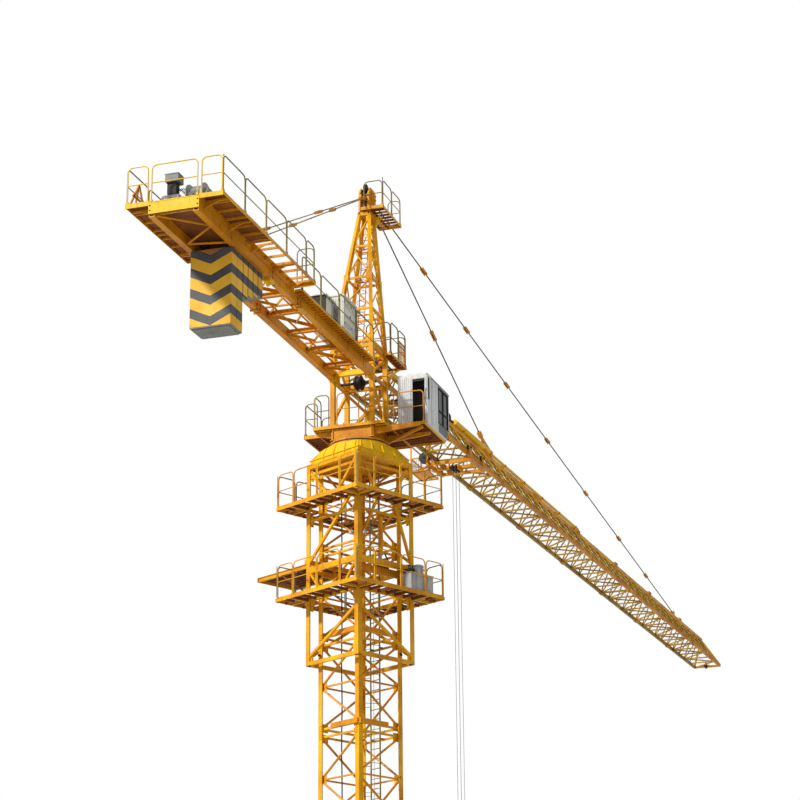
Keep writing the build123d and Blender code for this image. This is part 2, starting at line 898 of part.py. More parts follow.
def counter_jib_walkways():
    """Walkways outside the chords and the two floors between them."""
    section = (counter_plate, walkway_edge, walkway_edge_width)
    rear_floor_front = winch_x + winch_length
    floor_rear = right_walkway_front + floor_gap
    side, outer, z = counter_side, walkway_outer, walkway_z
    return [
        fuse(deck_panel(counter_rear, right_walkway_front, -outer, -side, z, section, 3)),
        fuse(deck_panel(counter_rear, left_walkway_front, side, outer, z, section, 2)),
        box(counter_rear, rear_floor_front, -side, side, counter_top, floor_z),
        box(
            floor_rear, counter_root - floor_front_gap, -side - narrow_walkway, side,
            counter_top, floor_z,
        ),
    ]


def counter_jib_rails():
    """Rails along both walkways, over the rear plate and along the narrow walkway."""
    i = rail_inset
    inner = counter_side + i
    outer = walkway_outer - i
    rear = counter_rear + i
    narrow = -counter_side - narrow_walkway + i
    plate_x = counter_rear - end_plate_thick / 2
    plate_top = counter_bottom + end_plate_rise + end_plate_height
    right = [(rear, -inner), (rear, -outer), (right_walkway_front - i, -outer)]
    left = [(rear, inner), (rear, outer), (left_walkway_front - i, outer)]
    narrow_rear = right_walkway_front + floor_gap + i
    front = [(narrow_rear, narrow), (counter_root - floor_front_gap - i, narrow)]
    middle = [(plate_x, -counter_chord_y), (plate_x, counter_chord_y)]
    return [
        rail_run(right, walkway_z, 2), rail_run(left, walkway_z, 2), rail_run(front, floor_z, 2),
        rail_run(middle, plate_top),
    ]


def hoist_winch():
    """Winch bed with the gearbox and stand that carry the drum, and the motor."""
    bed_top = floor_z + winch_bed
    half = winch_width / 2
    x0 = winch_x - winch_length / 2
    axle_z = drum_axle_z()
    drum_x = winch_x + drum_shift
    gear_left = gearbox_width - half
    stand_right = gear_left + drum_length
    motor_x = x0 + motor_gap + motor_r
    motor_right = half - motor_gap - motor_length
    return [fuse([
        box(x0, x0 + winch_length, -half, half, floor_z, bed_top),
        box(
            drum_x - gearbox_length / 2, drum_x + gearbox_length / 2, -half, gear_left,
            bed_top, bed_top + gearbox_height,
        ),
        box(
            drum_x - stand_length / 2, drum_x + stand_length / 2, stand_right, stand_right + stand_width,
            bed_top, axle_z + stand_length / 2,
        ),
        box(
            motor_x - motor_r, motor_x + motor_r, motor_right, motor_right + motor_length,
            bed_top, bed_top + 2 * motor_r,
        ),
    ])]


def drum_axle_z():
    return floor_z + winch_bed + drum_flange_r + drum_clearance


def drum(x, right, left, z):
    """A rope drum with a flange at each end."""
    core = rod((x, right, z), (x, left, z), drum_r)
    ends = [
        rod((x, right, z), (x, right + drum_flange, z), drum_flange_r),
        rod((x, left - drum_flange, z), (x, left, z), drum_flange_r),
    ]
    return fuse([core] + ends)


def rope_drums():
    """The hoist winch's drum, between its gearbox and stand, and the trolley winch's."""
    right = gearbox_width - winch_width / 2
    hoist = drum(winch_x + drum_shift, right, right + drum_length, drum_axle_z())
    middle = jib_root + trolley_winch_x + trolley_winch_length / 2
    axle = trolley_winch_low() + trolley_drum_r + trolley_winch_bed / 2
    half = trolley_drum_half
    low, high = jib_point(middle, -half, axle), jib_point(middle, half, axle)
    return [hoist, rod(low, high, trolley_drum_r)]


def hung_slab(x0, thick, height):
    """A slab below the chords with two hangers and a beam that rests on the chords."""
    x = x0 + thick / 2
    top = counter_bottom - weight_gap
    half = weight_hanger / 2
    spread = hanger_half_spread
    reach = counter_chord_y - hanger_rest
    pieces = posts_at([(x, -spread), (x, spread)], weight_hanger, top - hanger_socket, counter_top + half)
    pieces.append(box(x0, x0 + thick, -weight_half, weight_half, top - height, top))
    pieces.append(box(x - half, x + half, -reach, reach, counter_top, counter_top + weight_hanger))
    return fuse(pieces)


def front_counterweights():
    """Shorter slabs in front of the long one, each one step shorter than the last."""
    slabs = []
    x = weights_rear + rear_weight_thick + front_weight_gap
    for number in range(front_weight_count):
        height = front_weight_height - number * front_weight_step
        slabs.append(hung_slab(x, front_weight_thick, height))
        x += front_weight_thick + front_weight_gap
    return slabs


def electric_cabinets():
    """The tall and the low cabinet on the floor beside the right chord."""
    right = -counter_side - narrow_walkway + cabinet_edge
    left = right + cabinet_depth
    low_top = floor_z + small_cabinet_height
    return [
        box(cabinet_rear, cabinet_front, right, left, floor_z, floor_z + cabinet_height),
        box(small_cabinet_rear, small_cabinet_front, right, left, floor_z, low_top),
    ]


# Jib

def jib_point(x, y, height):
    """A point on the jib, height above its sloping bottom chords."""
    return (x, y, jib_root_z + (x - jib_root) * slope_rise + height)


def nose_sheave_x():
    return jib_tip - 2 * jib_bar - nose_sheave_r


def jib_section(x0, x1):
    """Two bottom chords and a top chord, with a zigzag on both sides and struts below."""
    inset = jib_bar / 2 + jib_chord / 2 * slope_rise
    root = x0 == jib_root
    tip = x1 > jib_tip - jib_nose
    start = x0 + jib_taper if root else x0
    end = x1 - jib_nose if tip else x1
    step = (end - start) / jib_panels
    pieces = [bar(jib_point(start, 0, jib_depth), jib_point(end, 0, jib_depth), jib_top_chord)]
    for y in (-jib_half, jib_half):
        pieces.append(bar(jib_point(x0, y, 0), jib_point(x1, y, 0), jib_chord))
        if root:
            pieces.append(bar(jib_point(x0, y, 0), jib_point(start, 0, jib_depth), jib_root_bar))
        if tip:
            pieces.append(bar(jib_point(end, 0, jib_depth), jib_point(x1 - inset, y, 0), jib_bar))
        for number in range(jib_panels):
            a = start + number * step + jib_bar
            b = start + (number + 1) * step - jib_bar
            middle = (a + b) / 2
            rise = jib_point(middle - jib_bar, 0, jib_depth)
            fall = jib_point(middle + jib_bar, 0, jib_depth)
            pieces.append(bar(jib_point(a, y, 0), rise, jib_bar))
            pieces.append(bar(fall, jib_point(b, y, 0), jib_bar))
    right, left = jib_point(x1 - inset, -jib_half, 0), jib_point(x1 - inset, jib_half, 0)
    pieces.append(bar(right, left, jib_bar))
    if tip:
        pieces += nose_plates()
    solid = fuse(pieces)
    if root:
        z, reach = jib_root_z, jib_half + jib_chord
        solid -= box(x0 - jib_chord, x0, -reach, reach, z - jib_chord, z + jib_depth)
    return solid


def nose_plates():
    """Two plates before the jib's nose that hold its sheave."""
    half = nose_plate_half
    pieces = []
    for side in (-1, 1):
        middle = side * (half + nose_plate / 2)
        start = jib_point(nose_sheave_x() - jib_bar, middle, 0)
        end = jib_point(jib_tip - jib_bar / 2, middle, 0)
        pieces.append(bar(start, end, nose_plate, 2 * jib_bar))
    return pieces


def trolley_winch():
    """Winch on two beams across the bottom chords near the jib's root."""
    bed = trolley_winch_bed
    low = trolley_winch_low()
    x0 = jib_root + trolley_winch_x
    x1 = x0 + trolley_winch_length
    middle = (x0 + x1) / 2
    pieces = []
    for x in (x0, x1):
        pieces.append(bar(jib_point(x, -jib_half, low), jib_point(x, jib_half, low), bed))
    stand = trolley_drum_half + trolley_winch_stand / 2
    height = 2 * trolley_drum_r
    for y in (-stand, stand):
        pieces.append(bar(jib_point(x0, y, low), jib_point(x1, y, low), trolley_winch_stand, bed))
        foot, top = jib_point(middle, y, low), jib_point(middle, y, low + height)
        pieces.append(bar(foot, top, trolley_winch_stand, trolley_drum_r))
    gear = jib_point(middle, stand, low + height / 2)
    outer = jib_point(middle, stand + trolley_winch_motor, low + height / 2)
    pieces.append(bar(gear, outer, height))
    return fuse(pieces)


def trolley_winch_low():
    """Height of the winch's bed above the middle of the chords that it rests on."""
    return (jib_chord + trolley_winch_bed) / 2 / slope_cos + trolley_winch_bed / 2 * slope_rise


# Ties

def tie_plate(head, direction):
    """Flat plate of a tie between the head's lugs; its middle turns about the pin at head."""
    a = Vector(*head)
    along = Vector(*direction).normalized()
    start = a - along * tie_plate_height / 2
    return bar(tuple(start), tuple(a + along * tie_plate_length), tie_plate_thick, tie_plate_height)


def tie(head, neck, foot, lug):
    """A tie between its plate at the head and the lug on a jib's chord."""
    return fuse([tie_plate(head, Vector(*neck) - Vector(*head)), bar(neck, foot, tie_width), lug])


def jib_tie(x_end, anchor_z):
    """A tie from the head's cap to its lug on the jib's top chord."""
    face = jib_top_chord / 2
    low = jib_depth + face / slope_cos
    middle = low + tie_foot_height / 2 / slope_cos
    lug = bar(
        jib_point(x_end - tie_foot_half, 0, middle), jib_point(x_end + tie_foot_half, 0, middle),
        tie_plate_thick, tie_foot_height,
    )
    foot = Vector(*jib_point(x_end, 0, middle))
    head = Vector(cap_front - tie_lug_depth / 2, 0, anchor_z)
    neck = head + (foot - head).normalized() * (tie_plate_length - tie_overlap)
    return tie(tuple(head), tuple(neck), tuple(foot), lug)


def counter_tie_y():
    return (cap_inner - tie_lug_thick - tie_plate_thick / 2) - tie_play


def counter_tie(side):
    """A tie from the head's cap to its lug on a counter-jib chord."""
    y = side * counter_chord_y
    half = tie_plate_thick / 2
    top = counter_top + tie_foot_height
    rear, front = counter_lug_x - tie_foot_half, counter_lug_x + tie_foot_half
    lug = box(rear, front, y - half, y + half, counter_top, top)
    foot = Vector(counter_lug_x, y, (counter_top + top) / 2)
    head = Vector(cap_rear + counter_tie_inset, side * counter_tie_y(), head_top + counter_tie_rise)
    level = Vector(foot.X - head.X, 0, foot.Z - head.Z).normalized()
    neck = head + level * (tie_plate_length - tie_overlap)
    return tie(tuple(head), tuple(neck), tuple(foot), lug)


# Trolley, rope and hook

def trolley_side():
    """Distance from the jib's middle to the hangers outside the wheels."""
    return jib_half + wheel_inset + trolley_wheel_width + trolley_hanger / 2


def wheel_places():
    half = trolley_length / 2 - trolley_bar
    return [trolley_x - half, trolley_x + half]


def wheel_height():
    """Height of a wheel's centre above the middle of the chord it runs on."""
    return (jib_chord / 2 + trolley_wheel_r + wheel_play) / slope_cos


def trolley_frame():
    """Frame under the jib, hung from the wheels, with the rope's sheave box."""
    pieces = []
    half = trolley_length / 2
    out = trolley_side()
    for y in (-out, out):
        rear = jib_point(trolley_x - half, y, -trolley_drop)
        front = jib_point(trolley_x + half, y, -trolley_drop)
        pieces.append(bar(rear, front, trolley_bar))
        for x in wheel_places():
            top = wheel_height() + trolley_wheel_r / 2
            pieces.append(bar(jib_point(x, y, -trolley_drop), jib_point(x, y, top), trolley_hanger))
    for x in wheel_places() + [trolley_x]:
        right, left = jib_point(x, -out, -trolley_drop), jib_point(x, out, -trolley_drop)
        pieces.append(bar(right, left, trolley_bar))
    z = jib_point(trolley_x, 0, -trolley_drop)[2]
    length = rope_spread_x / 2 + sheave_box_margin
    pieces.append(box(
        trolley_x - length, trolley_x + length, -sheave_box_half, sheave_box_half,
        z - sheave_box_below, z + sheave_box_above,
    ))
    return fuse(pieces)


def trolley_wheels():
    wheels = []
    reach = jib_half + wheel_inset + trolley_wheel_width / 2
    for x in wheel_places():
        for side in (-1, 1):
            centre = jib_point(x, side * reach, wheel_height())
            wheels.append(disc(centre, (0, 1, 0), trolley_wheel_r, trolley_wheel_width))
    return wheels


def trolley_basket():
    """Maintenance basket hung on the left of the trolley."""
    x0 = trolley_x - basket_length / 2
    near = trolley_side() + trolley_bar / 2
    floor = jib_point(trolley_x, 0, -trolley_drop)[2] - basket_height / 2
    far = near + basket_width
    half = basket_bar / 2
    ring = [
        (x0 + half, near + half), (x0 + basket_length - half, near + half),
        (x0 + basket_length - half, far - half), (x0 + half, far - half),
    ]
    pieces = [box(x0, x0 + basket_length, near, far, floor, floor + basket_floor)]
    pieces += posts_at(ring, basket_bar, floor, floor + basket_height)
    for level in (basket_height / 2, basket_height):
        z = floor + level - half
        for p, q in zip(ring, ring[1:] + ring[:1]):
            pieces.append(bar(lifted(p, z), lifted(q, z), basket_bar))
    return fuse(pieces)


def rope_top():
    return jib_point(trolley_x, 0, -trolley_drop)[2] - sheave_box_below


def hoist_ropes():
    """Four falls of rope between the trolley and the hook block."""
    x, y = rope_spread_x / 2, rope_spread_y / 2
    places = [(trolley_x - x, -y), (trolley_x - x, y), (trolley_x + x, -y), (trolley_x + x, y)]
    bottom = rope_top() - rope_length
    return posts_at(places, 2 * rope_r, bottom, rope_top())


def hook_block():
    """Block with its shank and the open hook below it."""
    x = trolley_x
    z = rope_top() - rope_length - hook_plate_height
    half = hook_plate_width / 2
    block = box(x - half, x + half, -hook_plate_half, hook_plate_half, z, z + hook_plate_height)
    shank_foot = z - hook_shank
    outer_r = hook_inner_r + 2 * hook_bar_r
    centre = shank_foot - outer_r
    ring = disc((x, 0, centre), (0, 1, 0), outer_r, 2 * hook_bar_r)
    ring -= disc((x, 0, centre), (0, 1, 0), hook_inner_r, 2 * hook_bar_r)
    mouth = box(x, x + outer_r, -hook_bar_r, hook_bar_r, centre + hook_mouth_low, centre + outer_r)
    neck_foot = centre + hook_inner_r + hook_bar_r / 4
    neck = box(x - hook_bar_r, x + hook_bar_r, -hook_bar_r, hook_bar_r, neck_foot, z)
    return fuse([block, ring - mouth, neck])


os.makedirs("parts", exist_ok=True)

write("base_frame", turned(base_frame()))
for number in range(sections_below_cage + sections_in_cage):
    foot = foot_thick if number == 0 else 0
    section = mast_section(number * section_height, foot)
    write("mast_section_" + str(number + 1), turned(section))
write("mast_ladder", turned(mast_ladder()))
write("climbing_cage", turned(climbing_cage()))
write("lower_platform", turned(ring_platform(lower_platform_z)))
write("upper_platform", turned(ring_platform(upper_platform_z)))
write("lower_platform_rails", turned(ring_rails(lower_platform_z)))
write("upper_platform_rails", turned(ring_rails(upper_platform_z)))
write("loading_platform", turned(loading_platform()))
write("climbing_jack", turned(climbing_jack()))
write("hydraulic_power_unit", turned(hydraulic_power_unit()))
write("slewing_base", turned(slewing_base()))
write("slewing_ring", slewing_ring())

write("slewing_platform", slewing_platform())
write("slewing_rails", slewing_rails())
write("slewing_tower", slewing_tower())
write("rope_sheaves", rope_sheaves())
write("cab_shell", cab_shell())
write("cab_glass", cab_glass())
write("tower_head", tower_head())
write("head_platforms", platforms_at_head())
write("head_rails", rails_at_head())

write("counter_jib_frame", counter_jib_frame())
write("counter_jib_walkways", counter_jib_walkways())
write("counter_jib_rails", counter_jib_rails())
write("hoist_winch", hoist_winch())
write("rope_drums", rope_drums())
write("rear_counterweight", hung_slab(weights_rear, rear_weight_thick, rear_weight_height))
write("front_counterweights", front_counterweights())
write("electric_cabinets", electric_cabinets())

section_length = jib_length / jib_sections
for number in range(jib_sections):
    start = jib_root + number * section_length
    write("jib_section_" + str(number + 1), jib_section(start, start + section_length))
write("trolley_winch", trolley_winch())
write("short_jib_tie", jib_tie(jib_root + short_tie_from_root, cap_top - short_tie_drop))
write("long_jib_tie", jib_tie(jib_tip - long_tie_from_tip, cap_top - long_tie_drop))
write("counter_jib_ties", [counter_tie(-1), counter_tie(1)])

write("trolley_frame", trolley_frame())
write("trolley_wheels", trolley_wheels())
write("trolley_basket", trolley_basket())
write("hoist_ropes", hoist_ropes())
write("hook_block", hook_block())
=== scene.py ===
import bpy
import math
from mathutils import Matrix, Vector


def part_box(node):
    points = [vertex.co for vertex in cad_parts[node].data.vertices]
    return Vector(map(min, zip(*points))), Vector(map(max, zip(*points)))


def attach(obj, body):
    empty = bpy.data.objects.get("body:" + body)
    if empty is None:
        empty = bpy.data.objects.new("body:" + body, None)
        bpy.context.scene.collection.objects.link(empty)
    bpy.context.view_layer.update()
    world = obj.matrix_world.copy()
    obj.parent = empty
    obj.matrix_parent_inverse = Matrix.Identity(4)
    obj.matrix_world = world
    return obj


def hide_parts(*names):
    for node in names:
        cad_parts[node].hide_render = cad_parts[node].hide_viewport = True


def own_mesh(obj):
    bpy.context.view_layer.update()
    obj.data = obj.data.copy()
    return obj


# Tower crane, 1:2 scale model, dressed over its CAD frame. Sizes are in metres.
# Frame: origin on the mast axis at the foot, +Z up, +X along the jib, +Y to the jib's left.

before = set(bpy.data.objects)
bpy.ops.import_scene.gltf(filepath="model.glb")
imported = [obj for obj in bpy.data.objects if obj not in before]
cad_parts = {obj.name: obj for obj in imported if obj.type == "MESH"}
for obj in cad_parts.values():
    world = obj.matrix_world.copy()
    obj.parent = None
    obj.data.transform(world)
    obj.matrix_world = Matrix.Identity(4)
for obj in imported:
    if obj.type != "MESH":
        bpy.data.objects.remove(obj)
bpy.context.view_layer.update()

UP = (0, 0, 1)
ALONG = (1, 0, 0)
ACROSS = (0, 1, 0)
STANDING = "tower"
TURNING = "superstructure"
TROLLEY = "trolley"
HOOK = "hook"

# Mast, as in the part's source
SECTION = 1.4
SECTIONS = 9
MAST_HALF = 0.4
MAST_CHORD = 0.096
MAST_OUTER = MAST_HALF + MAST_CHORD / 2
MAST_LEG = 0.082
MAST_LEG_THICK = 0.012
BRACE_R = 0.018
BRACE_GAP = 0.03
MAST_TURN = math.radians(-27.46)
MAST_TOP = SECTION * SECTIONS
STRUT_INSET = 0.06
CAGE_SECTIONS = 3

# Mast fittings; pairs are width and height
STRUT = (0.028, 0.03)
MIDDLE_STRUT = (0.022, 0.024)
STRUT_GUSSET = (0.1, 0.13)
MIDDLE_GUSSET = (0.08, 0.13)
SPLICE_REACH = 0.06
SPLICE_THICK = 0.01
SPLICE_BOLTS_ACROSS = (0.035, 0.065)
SPLICE_BOLTS_UP = 0.036
BOLT = 0.010
LUG_WIDTH = 0.04
LUG_HEIGHT = 0.075
LUG_LIFT = 0.07

# Foot
FOOT_PLATE = 0.024
FOOT_HALF = 0.15
FOOT_RIB_REACH = 0.09
FOOT_RIB_RISE = 0.11
FOOT_RIB_HALF = 0.004
ANCHOR_OFFSET = 0.085
ANCHOR_HEAD = 0.022

# Ladder and cable in the mast
LADDER_INSET = 0.09
LADDER_HALF = 0.1
LADDER_LOW = 0.3
RUNG_PITCH = 0.15
RUNG_R = 0.007
HOOPS_LOW = 1.2
HOOP_PITCH = 0.45
HOOP_DEPTH = 0.24
HOOP_HALF = 0.17
HOOP_STEPS = 12
HOOP_R = 0.005
CABLE_R = 0.011
CABLE_WAVE = 0.006
CABLE_STEP = 0.35
CABLE_POINTS = 36

# Cage, platforms and rails
CAGE_HALF = 0.543
CAGE_COLUMN = 0.08
CAGE_OUTER = CAGE_HALF + CAGE_COLUMN / 2
CAGE_LEG_THICK = 0.012
CAGE_LOW = MAST_TOP - 3.17
CAGE_BRACE = (0.034, 0.04)
CAGE_GUSSET = (0.09, 0.13)
DECK_HALF = 0.915
LOWER_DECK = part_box("lower_platform")[1][2]
UPPER_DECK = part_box("upper_platform")[1][2]
KNEE = LOWER_DECK + 0.44
HIP = UPPER_DECK - 0.23
RAIL_HEIGHT = 0.53
RAIL_R = 0.0095
RAIL_CORNER = 0.07
RAIL_FOOT = 0.014
DECK_EDGE = 0.06
RING_EDGE = 0.045
EDGE_THICK = 0.006
SLAT = (0.018, 0.034)
SLAT_DROP = 0.026
SLAT_PITCH = 0.085
RING_SLAT = (0.018, 0.044)
RING_SLATS = 10
RING_SHEETS = ((-0.58, 0.15), (0.0, 0.17), (0.62, 0.15))
NEAR_SIDES = (0, 3)
PANELS = ((0.012, 0.2), (0.215, 0.5), (0.515, 0.785), (0.80, 0.988))
LOADING_HALF = 0.4
LOADING_REACH = 1.367
LOADING_TOP = LOWER_DECK + 0.63
LOADING_JOISTS = 17

# Jacking gear and pump
JACK_Y = -MAST_OUTER - 0.0225
JACK_LOW = LOWER_DECK + 0.28
JACK_HEAD = HIP - 0.02
JACK_R = 0.034
JACK_ROD_R = 0.016
HOSE_R = 0.007
HOSE_STEPS = 14
TANK_X = (0.26, 0.72)
TANK_HIGH = LOWER_DECK + 0.30
TANK_LID = 0.012
PUMP_R = 0.082

# Slewing base and ring
BASE_HALF = 0.543
SKIRT_TOP = MAST_TOP + 0.09
SEAT = MAST_TOP + 0.26
SEAT_R = 0.49
SEAT_POWER = 4.0
SEAT_PLATE = 0.022
SEAT_BOLTS = 40
SEAT_BOLTS_R = 0.478
BASE_STEPS = 16
BASE_RIBS = 5
RING_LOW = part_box("slewing_ring")[0][2]
RING_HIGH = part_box("slewing_ring")[1][2]
RING_R = 0.465
RING_BOLTS = 36
RING_BOLTS_R = 0.44

# Slewing frame, deck and tower
DECK_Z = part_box("slewing_platform")[1][2]
FRAME_LOW = RING_HIGH + 0.008
FRAME_HIGH = DECK_Z - 0.014
FRAME_HALF = 0.338
FRAME_WELL = 0.2
RACE_R = 0.405
DECK_REAR = -0.375
DECK_FRONT = 0.945
DECK_RIGHT = -0.545
DECK_LEFT = 0.635
WING = (-0.06, 0.70, DECK_LEFT, 0.905)
CAB_DECK = (-0.105, DECK_FRONT, -1.11, DECK_RIGHT)
TOWER_HALF = 0.322
TOWER_COLUMN = 0.072
TOWER_OUTER = TOWER_HALF + TOWER_COLUMN / 2
TOWER_TOP = DECK_Z + 1.325
WHEEL_Z = TOWER_TOP - 0.535
ROOT_Z = 13.985

# Rope wheels
TOWER_WHEEL_R = 0.12
HEAD_WHEEL_R = 0.11
HEAD_WHEEL = (0.36, 0, 17.42)
NOSE_WHEEL_R = 0.08
NOSE_WHEEL_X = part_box("rope_sheaves")[1][0] - NOSE_WHEEL_R

# Cab
CAB_REAR = 0.025
CAB_FRONT = 1.165
CAB_RIGHT = -1.105
CAB_LEFT = -0.63
CAB_ROOF = DECK_Z + 0.85
CAB_WALL = 0.024
CAB_EDGE = 0.03
CAB_RIDGE = CAB_ROOF - CAB_EDGE
CAB_INNER_RIGHT = CAB_RIGHT + CAB_WALL
CAB_INNER_LEFT = CAB_LEFT - CAB_WALL
SLANT_X = 0.15
SLANT_Z = 0.26
CAB_HEEL = CAB_FRONT - SLANT_X
WINDOW_REAR = CAB_REAR + 0.60
WINDOW_FRONT = CAB_FRONT - 0.07
WINDOW_LOW = DECK_Z + 0.21
WINDOW_HIGH = CAB_ROOF - 0.07
WINDOW_FRAME = 0.02
PANE_LOW = DECK_Z + SLANT_Z + 0.03
PANE_HIGH = WINDOW_HIGH
PANE_INSET = 0.07
DOOR_RIGHT = CAB_RIGHT + 0.036
DOOR_LEFT = DOOR_RIGHT + 0.20
DOOR_SILL = DECK_Z + 0.03
DOOR_LINTEL = DECK_Z + 0.76
HANDLE_R = 0.005

# Tower head
HEAD_REAR = 0.282
HEAD_FRONT = 0.470
HEAD_HALF = 0.076
HEAD_RISE = 2.5
HEAD_TOP = TOWER_TOP + HEAD_RISE
HEAD_LEVELS = (0.02, 0.26, 0.5, 0.74, 0.98)
CAP_REAR = 0.242
CAP_FRONT = 0.575
CAP_HALF = 0.092
CAP_INNER = 0.062
CAP_TOP = HEAD_TOP + 0.45
EYE_X = CAP_FRONT - 0.045
LONG_EYE = HEAD_TOP + 0.37
SHORT_EYE = HEAD_TOP + 0.30
REAR_EYE_X = CAP_REAR + 0.045
REAR_EYE = HEAD_TOP + 0.27
EYE_SLOT = 0.0123
HEAD_DECK_Z = HEAD_TOP + 0.06
HEAD_DECK = (0.212, 1.132, -0.345, 0.04)
FOOT_DECK_Z = TOWER_TOP - 0.03
FOOT_DECK = (0.135, 0.900, -0.490, 0.320)
HEAD_RAIL = 0.46
HEAD_RUNG_PITCH = 0.11
HEAD_HOOPS = 9

# Counter-jib
COUNTER_REAR = -7.2
COUNTER_ROOT = -TOWER_OUTER
CHORD_Y = 0.315
CHORD_LOW = TOWER_TOP - 0.575
CHORD_HIGH = TOWER_TOP - 0.425
CHORD_HALF = 0.045
CHORD_MIDDLE = (CHORD_LOW + CHORD_HIGH) / 2
FLANGE = 0.012
COUNTER_SIDE = CHORD_Y + CHORD_HALF
SPLICE_PLATES = (-3.62, -3.50)
STIFFENERS = (-7.05, -6.5, -6.1, -4.6, -4.05, -2.9, -2.2, -1.5, -0.8)
CROSS_BEAMS = (-7.16, -4.56, -3.9, -3.2, -2.4, -1.6, -0.85)
COUNTER_TIE_X = -5.5
WALK_Z = CHORD_HIGH + 0.08
WALK_OUT = COUNTER_SIDE + 0.34
RIGHT_FRONT = -3.8
LEFT_FRONT = -5.15
FLOOR_Z = CHORD_HIGH + 0.012
NARROW = 0.13

# Hoist winch, counterweights and cabinets
WINCH_X = -6.8
WINCH_LOW = FLOOR_Z + 0.05
DRUM_R = 0.14
DRUM_FLANGE_R = 0.185
DRUM_TURNS = 11
DRUM_PITCH = 0.0185
WEIGHTS_REAR = -5.95
WEIGHT_HALF = 0.3
REAR_WEIGHT = (0.41, 1.135)
FRONT_WEIGHTS = 4
FRONT_THICK = 0.17
FRONT_DEPTH = 0.58
FRONT_STEP = 0.075
WEIGHT_GAP = 0.01
CABINET_RIGHT = -0.455
CABINET_LEFT = -0.231
CABINET = (-1.945, -1.375, 0.6)
LOW_BOX = (-2.74, -2.18, 0.3)

# Jib
JIB_ROOT = TOWER_OUTER
JIB_TIP = 26.65
JIB_HALF = 0.325
JIB_DEPTH = 0.57
JIB_ROOT_Z = 14.01005
JIB_RISE = math.tan(math.radians(2.27))
JIB_SECTIONS = 8
JIB_PANELS = 5
JIB_TAPER = 1.15
JIB_NOSE = 0.66
JIB_TOP_CHORD = 0.078
LACING_R = 0.0145
SLEEVE = 0.055
PIPE_CLAMP_PITCH = 1.3

# Trolley winch on the jib
TRAVEL_WINCH_X = (JIB_ROOT + 1.3, JIB_ROOT + 1.72)
TRAVEL_WINCH_LOW = 0.075
TRAVEL_TURNS = 13
TRAVEL_PITCH = 0.0125

# Ties
TIE_R = 0.011
COUNTER_TIE_R = 0.0095
LONG_TIE_X = JIB_TIP - 3.95
SHORT_TIE_X = JIB_ROOT + 6.777
TIE_LIFT = JIB_DEPTH + 0.102
TIE_LUG = 0.10
LONG_LINKS = (3.35, 5.85, 8.45, 11.35, 14.4, 17.3, 19.9)
SHORT_LINKS = (3.85,)
COUNTER_LINKS = (0.30, 0.64)

# Trolley, ropes and hook
TROLLEY_X = JIB_ROOT + 4.692
TROLLEY_HALF = 0.45
TROLLEY_OUT = JIB_HALF + 0.061
TROLLEY_DROP = 0.13
TROLLEY_Z = JIB_ROOT_Z + (TROLLEY_X - JIB_ROOT) * JIB_RISE - TROLLEY_DROP
TROLLEY_AXLE = 0.39
FALL_X = 0.095
FALL_Y = 0.03
BASKET_HALF = 0.3
BASKET_DEEP = 0.33
BASKET_HIGH = 0.5
ROPE_TOP = TROLLEY_Z - 0.08
ROPE_LENGTH = 5.836
ROPE_R = 0.0042
ROPE_STRANDS = 3
ROPE_POINTS = 240
BLOCK_TOP = ROPE_TOP - ROPE_LENGTH
BLOCK_LOW = BLOCK_TOP - 0.42
BLOCK_AXLE = BLOCK_TOP - 0.115
HOOK_R = 0.122

# Hazard chevrons on the counterweights
CHEVRON_PITCH = 0.296
CHEVRON_SHARE = 0.45
CHEVRON_LEAN = 0.47
CHEVRON_START = 12.815
CHEVRONS = 4

# Light
SUN_DIRECTION = (0.62, -0.50, -0.58)
SUN_STRENGTH = 3.7
SUN_SPREAD = 5.0
SKY_STRENGTH = 0.52
FLOOR_HALF = 60.0

# Camera found from the photo's mast, platforms and jib
CAMERA_PLACE = (-33.71, -12.02, 1.31)
CAMERA_HEADING = math.radians(18.603)
CAMERA_PITCH = math.radians(19.068)
CAMERA_ROLL = -0.0091
CAMERA_LENS = 108.47
CAMERA_SENSOR = 36.0


